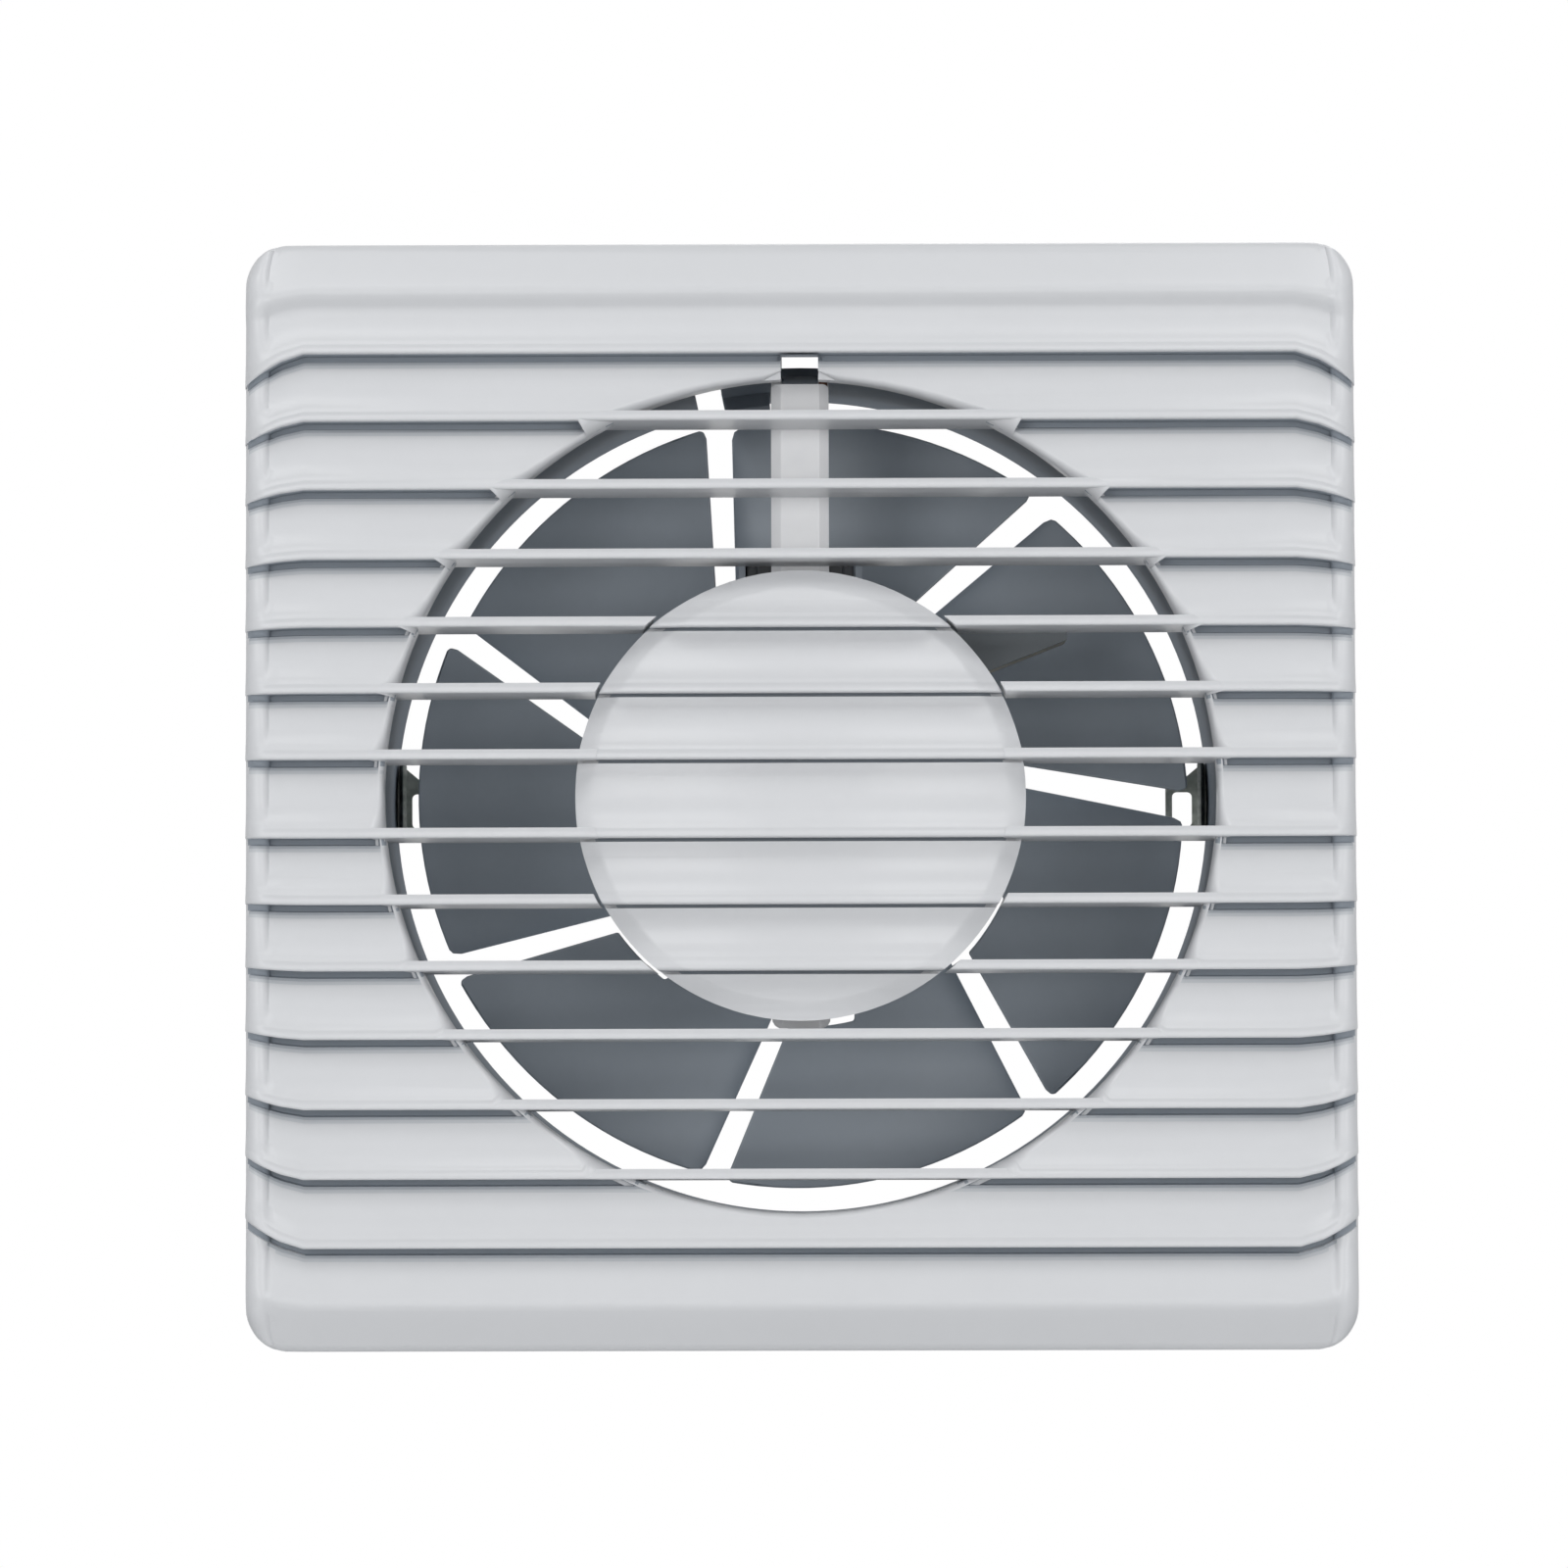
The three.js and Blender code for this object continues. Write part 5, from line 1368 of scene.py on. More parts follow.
    def tongues(self, draft: MeshDraft) -> None:
        """Makes the four tongues that grip the wall plate.

        Args:
            draft: Where they go.
        """
        outer = self.half - self.wall + 0.3
        inner = self.half - self.wall - self.tongue_thickness
        for across in (-self.tongue_offset, self.tongue_offset):
            limits = (across - self.tongue_width / 2, across + self.tongue_width / 2)
            for up in ((inner, outer), (-outer, -inner)):
                draft.box(limits, (-self.depth + self.tongue_depth, self.back), up)

    def paint_crease_shade(self, piece: Piece, finish: Finish, upper: float,
                  lower: float) -> None:
        """Gives a narrow band under every lip its own, dirt-darkened finish.

        Args:
            piece: The piece, already dressed.
            finish: The band's finish, a grey that paints the shade in the crease.
            upper: How far below the lip's edge the band starts.
            lower: How far below the lip's edge it ends.
        """
        # Painted shade: faces in the band take this darker finish in place of the lip's shadow.
        piece.data.materials.append(self.finishes.get(finish))
        middle, half = (upper + lower) / 2, (lower - upper) / 2 + self.crease_slack
        for polygon in piece.data.polygons:
            place = polygon.center / MM
            on_side = abs(place.x) > self.half - self.side_round
            front = -self.depth + (self.crease_side_front if on_side else self.step)
            if not front <= place.y <= -self.depth + self.crease_back:
                continue
            if abs(place.x) > self.half - self.crease_side_strip:
                continue
            corners = [piece.data.vertices[index].co / MM for index in polygon.vertices]
            if any(all(abs(corner.z - self.bent(lip - middle, corner.x)) < half
                       for corner in corners) for lip in self.lip_heights):
                polygon.material_index = len(piece.data.materials) - 1

    def build(self) -> None:
        """Makes the cover and dresses it."""
        shell = MeshDraft()
        self.shell(shell)
        self.flare_wall(shell)
        cover = shell.make("louvred_cover", self.crease_degrees)
        self.dress(cover, COVER_FINISH, "front_cover")
        # Painted shade: grey bands under every lip, darkest next to the lip.
        for band in self.CREASE_SHADES:
            self.paint_crease_shade(cover, *band)
        for name, method in (("inlet_rim", self.rim), ("inlet_slats", self.slats),
                             ("centre_disc", self.centre_disc), ("cover_tongues", self.tongues)):
            draft = MeshDraft()
            method(draft)
            piece = self.dress(draft.make(name, self.crease_degrees), COVER_FINISH)
            if name == "centre_disc":
                # Painted shade: the disc's narrow grooves under each lip take the darkest crease
                # grey.
                middle, reach = self.disc_groove_drop, self.disc_groove_half
                self.paint_crease_shade(piece, CREASE_SHADE_FINISH, middle - reach, middle + reach)


@dataclass
class WallHousing(SubAssembly):
    """The wall plate with its duct, and the spring clips on the duct's rim."""

    plate_half: float = 75.8
    plate_corner: float = 4.0
    plate_thickness: float = 2.5
    duct_inner: float = 61.3
    duct_outer: float = 62.5
    collar_front: float = -17.2
    duct_back: float = 38.0
    rib_height: float = 0.8
    rib_place: float = 32.0
    rib_width: float = 1.2
    rim_outer: float = 73.4
    rim_wall: float = 1.6
    rim_height: float = 5.5
    screw_place: float = 66.5
    screw_radius: float = 2.4
    slot_half: float = 2.65
    slot_top: float = 70.0
    arm_half: float = 4.15
    tongue_offset: float = 45.0
    tongue_half: float = 4.3
    tongue_inner: float = 74.7
    gusset_half: float = 0.7
    gusset_reach: float = 68.0
    gusset_height: float = 7.5
    gusset_turns: tuple[int, ...] = (0, 45, 135, 180, 225, 270, 315)
    rear_notch_angle: float = 102.7
    rear_notch_half: float = 1.95
    land_angles: Flat = (94.4, 100.8)
    land_height: float = 1.9
    land_length: float = 17.6
    land_steps: int = 6
    overlap: float = 0.3
    clip_low: float = -4.5
    clip_high: float = 6.2
    clip_strip: float = 0.8
    clip_inward: float = 6.2
    clip_outward: float = 3.4
    sides: int = 180
    outline_steps: int = 150

    def duct(self) -> MeshDraft:
        """Makes the duct with its rings and the land inside it.

        Returns:
            The draft.
        """
        inner, outer, front, back = (self.duct_inner, self.duct_outer, self.collar_front,
                                     self.duct_back)
        rib, high = self.rib_place, self.duct_outer + self.rib_height
        rib_end = rib + self.rib_width
        draft = MeshDraft()
        draft.lathe([
            (inner, front + 0.25), (inner + 0.25, front), (outer - 0.25, front),
            (outer, front + 0.25), (outer, rib - 0.5), (high - 0.2, rib), (high, rib + 0.2),
            (high, rib_end - 0.2), (high - 0.2, rib_end), (outer, rib_end + 0.5),
            (outer, back - 0.6), (outer - 0.4, back), (inner + 0.2, back), (inner, back - 0.3),
        ], self.sides)
        section = rectangle(inner - self.land_height, inner + 0.6, back - self.land_length,
                            back - 0.6)
        low, high = self.land_angles
        turns = [math.radians(low + (high - low) * step / self.land_steps)
                 for step in range(self.land_steps + 1)]
        draft.loft([swung(section, turn) for turn in turns])
        return draft

    def duct_openings(self) -> list[MeshDraft]:
        """Makes what is cut out of the duct: slot, arm windows and rear notch.

        Returns:
            The drafts.
        """
        lug = (2.35, 4.45)
        boxes = (
            ((-self.slot_half, self.slot_half),
             (self.collar_front - 2, -self.plate_thickness), (55.0, 72.0)),
            ((0.0, self.arm_half), (-7.6, -2.6), (55.0, 66.0)),
            (lug, (0.2, 3.6), (55.0, 66.0)),
            ((-lug[1], -lug[0]), (0.2, 3.6), (55.0, 66.0)),
            ((-self.rear_notch_half, self.rear_notch_half), (0.5, self.duct_back + 1),
             (self.duct_inner - 1.0, self.duct_outer + 3.0)),
        )
        drafts = []
        for limits in boxes:
            drafts.append(MeshDraft())
            drafts[-1].box(*limits)
        turn = math.radians(self.rear_notch_angle - 90)
        cosine, sine = math.cos(turn), math.sin(turn)
        drafts[-1].points = [(x * cosine - z * sine, y, x * sine + z * cosine)
                             for x, y, z in drafts[-1].points]
        return drafts

    def plate_outline(self) -> list[Flat]:
        """Gives the plate's outline with the four notches for the cover's tongues.

        Returns:
            The outline's points.
        """
        half, inner = self.plate_half, self.tongue_inner
        corners = rounded_rectangle((half, half), self.plate_corner)
        quarter = len(corners) // 4
        top = []
        for centre in (self.tongue_offset, -self.tongue_offset):
            right, left = centre + self.tongue_half, centre - self.tongue_half
            top.extend([(right, half), (right, inner), (left, inner), (left, half)])
        return [*corners[:quarter], *top, *corners[quarter:3 * quarter],
                *((-across, -up) for across, up in top), *corners[3 * quarter:]]

    def plate(self) -> MeshDraft:
        """Makes the wall plate with its rim and holes.

        Returns:
            The draft.
        """
        draft = MeshDraft()
        radius = (self.duct_inner + self.duct_outer) / 2
        gap = math.degrees(math.asin(self.slot_half / radius))
        hole = [(self.slot_half, self.slot_top), (-self.slot_half, self.slot_top),
                *arc(radius, 90 + gap, 360 - 2 * gap, self.outline_steps)]
        place = self.screw_place
        screws = [circle(self.screw_radius, 40, (place * right, place * up))
                  for right, up in CORNERS]
        draft.prism(self.plate_outline(), -self.plate_thickness, 0.0, holes=[hole, *screws])
        inside = self.rim_outer - self.rim_wall
        draft.prism(rounded_rectangle((self.rim_outer, self.rim_outer), self.plate_corner),
                    -self.plate_thickness - self.rim_height,
                    -self.plate_thickness + self.overlap,
                    holes=[rounded_rectangle((inside, inside),
                                             self.plate_corner - self.rim_wall)])
        return draft

    def gussets(self) -> MeshDraft:
        """Makes the gussets between the duct and the plate.

        Returns:
            The draft.
        """
        draft = MeshDraft()
        foot = self.duct_outer - self.overlap
        seat = -self.plate_thickness + self.overlap
        section = [(self.gusset_reach, seat), (foot, seat),
                   (foot, -self.plate_thickness - self.gusset_height)]
        for turn in self.gusset_turns:
            draft.loft([swung(section, math.radians(turn), side)
                        for side in (-self.gusset_half, self.gusset_half)])
        return draft

    def clip(self, side: int) -> MeshDraft:
        """Makes a spring clip on the duct's rear rim.

        Args:
            side: 1 for the right one and -1 for the left one.

        Returns:
            The draft.
        """
        def flipped(outline: Sequence[Flat]) -> list[Flat]:
            """Puts an outline on the clip's side."""
            return [(side * across, other) for across, other in outline]

        rear, strip = self.duct_back + 0.2, self.clip_strip
        low, high = self.clip_low, self.clip_high
        inner, outer = self.duct_inner - self.clip_inward, self.duct_outer + self.clip_outward
        hole_left, hole_right = inner + 1.0, inner + 4.0
        outline = [(inner + 0.6, low), (outer - 0.4, low), (outer - 0.4, high), (60.5, high),
                   (hole_right - 1.0, high - 2.0), (inner + 0.5, high - 2.9),
                   (inner, high - 3.3), (inner, low + 0.6)]
        hole = rounded_rectangle(((hole_right - hole_left) / 2, 2.6), 0.7, 4,
                                 ((hole_left + hole_right) / 2, -0.65))
        draft = MeshDraft()
        draft.prism(flipped(outline), rear, rear + strip, holes=[flipped(hole)])
        near, far = self.duct_outer + 0.6, self.duct_inner - 0.6
        leaf = [(outer - strip, rear), (outer - strip * 0.3, rear + strip),
                (outer, rear + strip * 0.6), (outer, rear), (near + strip + 0.5, 18.0),
                (near + strip, 16.0), (near + strip + 0.6, 14.2), (near + 0.6, 14.2),
                (near, 16.0), (near + 0.5, 18.0)]
        hook = [(far - strip, rear + strip * 0.5), (far, rear + strip * 0.5),
                (far, rear - 4.4), (far - 0.5, rear - 5.0), (far - strip - 0.3, rear - 5.0),
                (far - strip, rear - 4.2)]
        for bent in (leaf, hook):
            draft.prism(flipped(bent), low, high, Axis.Z)
        return draft

    def build(self) -> None:
        """Makes the housing and its clips and dresses them."""
        self.form(self.duct(), "duct_spigot", DUCT_FINISH, "housing", cuts=self.duct_openings())
        self.form(self.plate(), "wall_plate", DUCT_FINISH, rounding=0.3)
        self.form(self.gussets(), "plate_gussets", DUCT_FINISH, rounding=0.2)
        for word, side in SIDES:
            self.form(self.clip(side), f"spring_clip_{word}", SPRING_FINISH, f"side_clip_{word}",
                      rounding=0.12)


@dataclass
class MotorArm(SubAssembly):
    """The white strut that carries the motor, with its ears, ring and foot."""

    half: float = 4.15
    flat_half: float = 2.65
    back: float = -7.8
    front: float = -10.8
    flank: float = 0.55
    low: float = -33.2
    top: float = 59.35
    top_round: float = 0.8
    top_steps: int = 6
    web_half: float = 1.4
    web_low: float = 38.0
    web_back: float = -2.3
    ring_hole: float = 7.1
    ring_outer: float = 12.0
    ring_steps: int = 24
    ear_reach: float = 19.5
    ear_half: float = 4.5
    ear_front: float = -9.8
    screw_offset: float = 16.5
    screw_hole: float = 1.8
    slot_half: float = 2.65
    foot_front: float = -3.4
    foot_back: float = 4.0
    foot_thickness: float = 2.0
    seat: float = 60.95
    neck_front: float = -3.0
    lug_front: float = 0.4
    lug_top: float = 62.3
    lug_back: float = 3.2
    overlap: float = 0.5

    def strut(self, draft: MeshDraft) -> None:
        """Makes the chamfered strut with its rounded ends.

        Args:
            draft: Where it goes.
        """
        stations = [(self.low, 1.0), (self.low + 0.4, 0.35), (self.low + 1.0, 0.0)]
        for step in range(self.top_steps + 1):
            turn = step / self.top_steps * math.pi / 2
            height = self.top - self.top_round + self.top_round * math.sin(turn)
            stations.append((height, self.top_round * (1 - math.cos(turn))))
        back, front = self.back, self.front
        loops = []
        for height, inset in stations:
            half = self.half - inset
            flat = min(self.flat_half, half - 0.05)
            edge = front + self.flank * max(0.0, half - self.flat_half)
            section = [(-half, back), (half, back), (half, edge), (flat + 0.15, front + 0.06),
                       (flat - 0.15, front), (-flat + 0.15, front),
                       (-flat - 0.15, front + 0.06), (-half, edge)]
            loops.append([(across, along, height) for across, along in section])
        draft.loft(loops)

    def carrier(self, draft: MeshDraft) -> None:
        """Makes the ring round the bearing boss and the ears for the motor's screws.

        Args:
            draft: Where it goes.
        """
        start = math.degrees(math.atan2(self.ear_half, chord(self.ring_outer, self.ear_half)))
        outline = []
        for centre, sign in ((0, 1), (180, -1)):
            outline.extend([(sign * self.ear_reach, -sign * self.ear_half),
                            (sign * self.ear_reach, sign * self.ear_half),
                            *arc(self.ring_outer, centre + start, 180 - 2 * start,
                                 self.ring_steps)])
        holes = [circle(self.ring_hole, 48)]
        holes.extend(circle(self.screw_hole, 24, (side * self.screw_offset, 0.0))
                     for _, side in SIDES)
        draft.prism(outline, self.ear_front, self.back + 0.01, holes=holes)

    def foot(self, draft: MeshDraft) -> None:
        """Makes the web, the foot plate and the lugs that hook into the duct.

        Args:
            draft: Where it goes.
        """
        front, low = self.back - self.overlap, self.top - self.foot_thickness
        web = self.web_half
        draft.box((-web, web), (front, self.web_back), (self.web_low, self.top - 0.2))
        draft.box((-self.half, web), (front, self.foot_back), (low, self.top))
        draft.box((web, self.half), (self.foot_front, self.foot_back), (low, self.top))
        for _, side in SIDES:
            limits = tuple(sorted((side * self.slot_half, side * self.half)))
            draft.box(limits, (self.neck_front, self.lug_back),
                      (self.top - self.overlap, self.seat))
            draft.box(limits, (self.lug_front, self.lug_back),
                      (self.seat - self.overlap, self.lug_top))

    def build(self) -> None:
        """Makes the arm and dresses it."""
        bore = MeshDraft()
        bore.prism(circle(self.ring_hole, 48), -14.0, 0.0)
        for name, method, rounding, nodes, cuts in (
                ("arm_strut", self.strut, 0.22, ("motor_arm",), (bore,)),
                ("arm_carrier", self.carrier, 0.3, (), ()),
                ("arm_foot", self.foot, 0.2, (), ())):
            draft = MeshDraft()
            method(draft)
            self.form(draft, name, ARM_FINISH, *nodes, cuts=cuts, rounding=rounding,
                      degrees=28.0)


@dataclass
class Motor(SubAssembly):
    """The shaded-pole motor: core, coil, brackets, bearings, rings, screws and nuts."""

    core_front: float = -2.0
    core_back: float = 10.0
    core_half: float = 22.0
    core_low: float = -17.0
    core_corner: float = 2.0
    core_slit_half: float = 3.0
    leg_low: float = 23.0
    leg_high: float = 31.0
    window_half: float = 10.4
    shoulder: float = 23.5
    top_half: float = 9.6
    bore: float = 9.5
    bridge: float = 2.0
    foot_reach: float = 38.6
    foot_root: float = 16.4
    foot_tip: float = 22.9
    foot_top: float = 25.6
    coil_half: float = 8.9
    coil_build: float = 5.0
    coil_steps: int = 24
    flange: float = 1.0
    screw_offset: float = 16.5
    screw_hole: float = 1.8
    screw_radius: float = 1.5
    screw_end: float = 18.6
    thread_pitch: float = 0.5
    thread_depth: float = 0.14
    head_radius: float = 2.7
    head_height: float = 2.0
    head_seat: float = -10.0
    nut_radius: float = 2.9
    nut_height: float = 2.0
    nut_seat: float = 15.8
    bar: float = 1.4
    gap: float = 0.2
    shading_angles: Flat = (28.0, 62.0)
    notch_slit: float = 0.5
    bracket_reach: float = 20.5
    bracket_half: float = 4.5
    bracket_front: float = -7.6
    strap: float = 2.0
    pad_inner: float = 12.5
    boss_radius: float = 6.8
    boss_front: float = -10.2
    bearing_radius: float = 5.1
    bearing_length: float = 5.8
    bearing_front: float = 8.0
    bearing_fit: float = 0.1
    shaft_gap: float = 2.06
    round_sides: int = 64

    @property
    def middle(self) -> float:
        """Gives the middle of the core along the axis."""
        return (self.core_front + self.core_back) / 2

    def screw_holes(self) -> list[list[Flat]]:
        """Gives the two screw holes' outlines."""
        return [circle(self.screw_hole, 24, (side * self.screw_offset, 0.0)) for _, side in SIDES]

    def around_leg(self, margin: float, radius: float) -> list[Flat]:
        """Gives a (y, z) outline round the coil's leg, a margin outside it."""
        half = ((self.core_back - self.core_front) / 2 + margin,
                (self.leg_high - self.leg_low) / 2 + margin)
        return rounded_rectangle(half, radius, 6,
                                 (self.middle, (self.leg_low + self.leg_high) / 2))

    def core_bore(self) -> list[Flat]:
        """Gives the bore's outline with the four notches for the shading rings.

        Returns:
            The outline.
        """
        notches = sorted(angle + half_turn for angle in self.shading_angles
                         for half_turn in (0.0, 180.0))
        bar = self.bar / 2 + self.gap
        slit = self.notch_slit
        near, far = self.bore + self.gap, self.bore + self.bar + 0.6
        section = ((self.bore, -slit), (near, -slit), (near, -bar), (far, -bar), (far, bar),
                   (near, bar), (near, slit), (self.bore, slit))
        outline = []
        for index, angle in enumerate(notches):
            cosine, sine = math.cos(math.radians(angle)), math.sin(math.radians(angle))
            outline.extend((reach * cosine - side * sine, reach * sine + side * cosine)
                           for reach, side in section)
            following = notches[(index + 1) % 4] + (360.0 if index == 3 else 0.0)
            steps = max(4, int((following - angle) / 6))
            outline.extend(arc(self.bore, angle + 4, following - angle - 8, steps)[1:-1])
        return outline

    def core(self) -> None:
        """Makes the laminated core with its tapered foot."""
        half, low = self.core_half, self.core_low
        cut, slit = self.core_corner, self.core_slit_half
        top = self.bore + self.bridge
        share = (self.foot_top - self.shoulder) / (self.leg_high - self.shoulder)
        outline = [
            (-half + cut, low), (-slit, low), (-slit, -top), (slit, -top), (slit, low),
            (half - cut, low), (half, low + cut), (half, self.foot_root),
            (self.foot_reach, self.foot_tip), (self.foot_reach, self.foot_top),
            (half + (self.top_half - half) * share, self.foot_top),
            (self.top_half, self.leg_high), (-self.top_half, self.leg_high),
            (-half, self.shoulder), (-half, low + cut),
        ]
        window = rounded_rectangle((self.window_half, (self.leg_low - top) / 2), 0.8, 4,
                                   (0.0, (self.leg_low + top) / 2))
        draft = MeshDraft()
        draft.prism(outline, self.core_front, self.core_back,
                    holes=[self.core_bore(), window, *self.screw_holes()])
        self.form(draft, "core_stack", CORE_FINISH, "stator_core", rounding=0.12)

    def coil(self) -> None:
        """Makes the bobbin and the taped coil on it."""
        draft = MeshDraft()
        bore = self.around_leg(self.gap, 0.2)
        draft.prism(self.around_leg(0.8, 0.5), -self.coil_half, self.coil_half, Axis.X, [bore])
        for _, side in SIDES:
            limits = sorted((side * self.coil_half, side * (self.coil_half - self.flange)))
            draft.prism(self.around_leg(self.coil_build, 1.2), *limits, Axis.X, [bore])
        self.form(draft, "coil_former", BOBBIN_FINISH, "coil_bobbin", rounding=0.15)
        reach, steps = self.coil_half - self.flange - self.gap, self.coil_steps
        loops = []
        for step in range(steps + 1):
            across = -reach + 2 * reach * step / steps
            bulge = (0.25 * math.sin(math.pi * step / steps) ** 0.5
                     + 0.12 * abs(math.sin(math.pi * step / 4)))
            margin = self.coil_build - 0.8 + bulge
            loops.append([(across, along, up) for along, up in self.around_leg(margin, 2.6)])
        winding = MeshDraft()
        winding.loft(loops)
        self.form(winding, "taped_coil", TAPE_FINISH, "coil_winding")

    def shading_ring(self, name: str, node: str, turn: float) -> None:
        """Makes one copper ring through the core's notches.

        Args:
            name: The piece's name.
            node: The node it stands for.
            turn: How far it is turned round the axis, in degrees.
        """
        front, back = self.core_front - self.gap - self.bar, self.core_back + self.gap + self.bar
        reach, half = self.bore + 0.4 + self.bar / 2, self.bar / 2
        start, end = (math.radians(angle + turn) for angle in self.shading_angles)
        path = [Vector((reach * math.cos(angle), along, reach * math.sin(angle)))
                for angle, along in ((start, front + half), (end, front + half),
                                     (end, back - half), (start, back - half))]
        corner = 0.5
        smooth = []
        for index, here in enumerate(path):
            after = path[(index + 1) % 4]
            direction = (after - here).normalized()
            smooth.extend([here + direction * corner, after - direction * corner])
        outward = Vector((math.cos((start + end) / 2), 0.0, math.sin((start + end) / 2)))
        section = rounded_rectangle((half - 0.05, half - 0.05), 0.3, 3)
        draft = MeshDraft()
        rings = []
        for index, place in enumerate(smooth):
            ahead = (smooth[(index + 1) % len(smooth)] - smooth[index - 1]).normalized()
            side = (outward - ahead * outward.dot(ahead)).normalized()
            other = ahead.cross(side)
            rings.append(draft.add(tuple(place + side * across + other * rise)
                                   for across, rise in section))
        for ring, following in zip(rings, [*rings[1:], rings[0]]):
            draft.bridge(ring, following)
        self.form(draft, name, COPPER_FINISH, node)

    def bracket(self, name: str, node: str, mirror: bool) -> None:
        """Makes a bearing bracket.

        Args:
            name: The piece's name.
            node: The node it stands for.
            mirror: Whether it faces the rear.
        """
        def along(value: float) -> float:
            """Gives a place along the axis, mirrored where the bracket faces the rear."""
            return 2 * self.middle - value if mirror else value

        half, reach, fit = self.bracket_half, self.bracket_reach, self.bearing_fit
        behind = self.bracket_front + self.strap
        limits = sorted((along(self.bracket_front), along(behind)))
        draft = MeshDraft()
        draft.prism(rounded_rectangle((reach, half), 2.2), *limits,
                    holes=[circle(self.bearing_radius + fit, 48), *self.screw_holes()])
        for (_, side), hole in zip(SIDES, self.screw_holes()):
            centre = side * (reach + self.pad_inner) / 2
            pad = rounded_rectangle(((reach - self.pad_inner) / 2, half), 2.0, 6, (centre, 0.0))
            ends = sorted((along(behind - 0.1), along(self.core_front - self.gap)))
            draft.prism(pad, *ends, holes=[hole])
        front, inner, outer = self.boss_front, self.bearing_radius, self.boss_radius
        profile = [(inner + fit, front + 0.3), (inner + 0.4, front), (outer - 0.5, front),
                   (outer, front + 0.5), (outer, behind), (inner + fit, behind)]
        draft.lathe([(radius, along(place)) for radius, place in profile], self.round_sides)
        self.form(draft, name, CAST_FINISH, node, rounding=0.2)

    def bearing(self, name: str, node: str, centre: float) -> None:
        """Makes a bearing bush.

        Args:
            name: The piece's name.
            node: The node it stands for.
            centre: Its middle along the axis.
        """
        radius, bore = self.bearing_radius, self.shaft_gap
        low, high = centre - self.bearing_length / 2, centre + self.bearing_length / 2
        draft = MeshDraft()
        draft.lathe([(bore, low + 0.3), (bore + 0.3, low), (radius - 0.5, low),
                     (radius, low + 0.5), (radius, high - 0.5), (radius - 0.5, high),
                     (bore + 0.3, high), (bore, high - 0.3)], self.round_sides)
        self.form(draft, name, BRONZE_FINISH, node)

    def screws(self) -> None:
        """Makes the two through screws and their nuts."""
        radius, head, end = self.screw_radius, self.head_radius, self.screw_end
        seat, front = self.head_seat, self.head_seat - self.head_height
        profile = [(0.0, front), (head * 0.72, front), (head * 0.93, front + 0.35),
                   (head, front + 0.9), (head, seat - 0.1), (head - 0.1, seat), (radius, seat)]
        along = seat + 0.4
        while along < end - 0.8:
            profile.extend([(radius, along), (radius - self.thread_depth, along + 0.25)])
            along += self.thread_pitch
        profile.extend([(radius, end - 0.5), (radius - 0.4, end), (0.0, end)])
        for word, side in SIDES:
            centre = side * self.screw_offset
            draft, slot, nut = MeshDraft(), MeshDraft(), MeshDraft()
            draft.lathe(profile, 32, closed=False)
            draft.shift(centre)
            slot.box((centre - 4, centre + 4), (front - 1, front + 0.8), (-0.38, 0.38))
            self.form(draft, f"through_screw_{word}", BRIGHT_FINISH, f"motor_screw_{word}",
                      cuts=[slot])
            nut.prism(circle(self.nut_radius, 6, (centre, 0.0)), self.nut_seat,
                      self.nut_seat + self.nut_height, holes=[circle(1.56, 32, (centre, 0.0))])
            self.form(nut, f"hexagon_nut_{word}", BRIGHT_FINISH, f"motor_nut_{word}",
                      rounding=0.2)

    def build(self) -> None:
        """Makes the motor's fixed pieces and dresses them."""
        self.core()
        self.coil()
        self.shading_ring("copper_ring_upper", "shading_ring_upper", 0.0)
        self.shading_ring("copper_ring_lower", "shading_ring_lower", 180.0)
        self.bracket("cast_bracket_front", "front_bracket", False)
        self.bracket("cast_bracket_rear", "rear_bracket", True)
        centre = self.core_front - self.bearing_front + self.bearing_length / 2
        self.bearing("bronze_bush_front", "front_bearing", centre)
        self.bearing("bronze_bush_rear", "rear_bearing", 2 * self.middle - centre)
        self.screws()


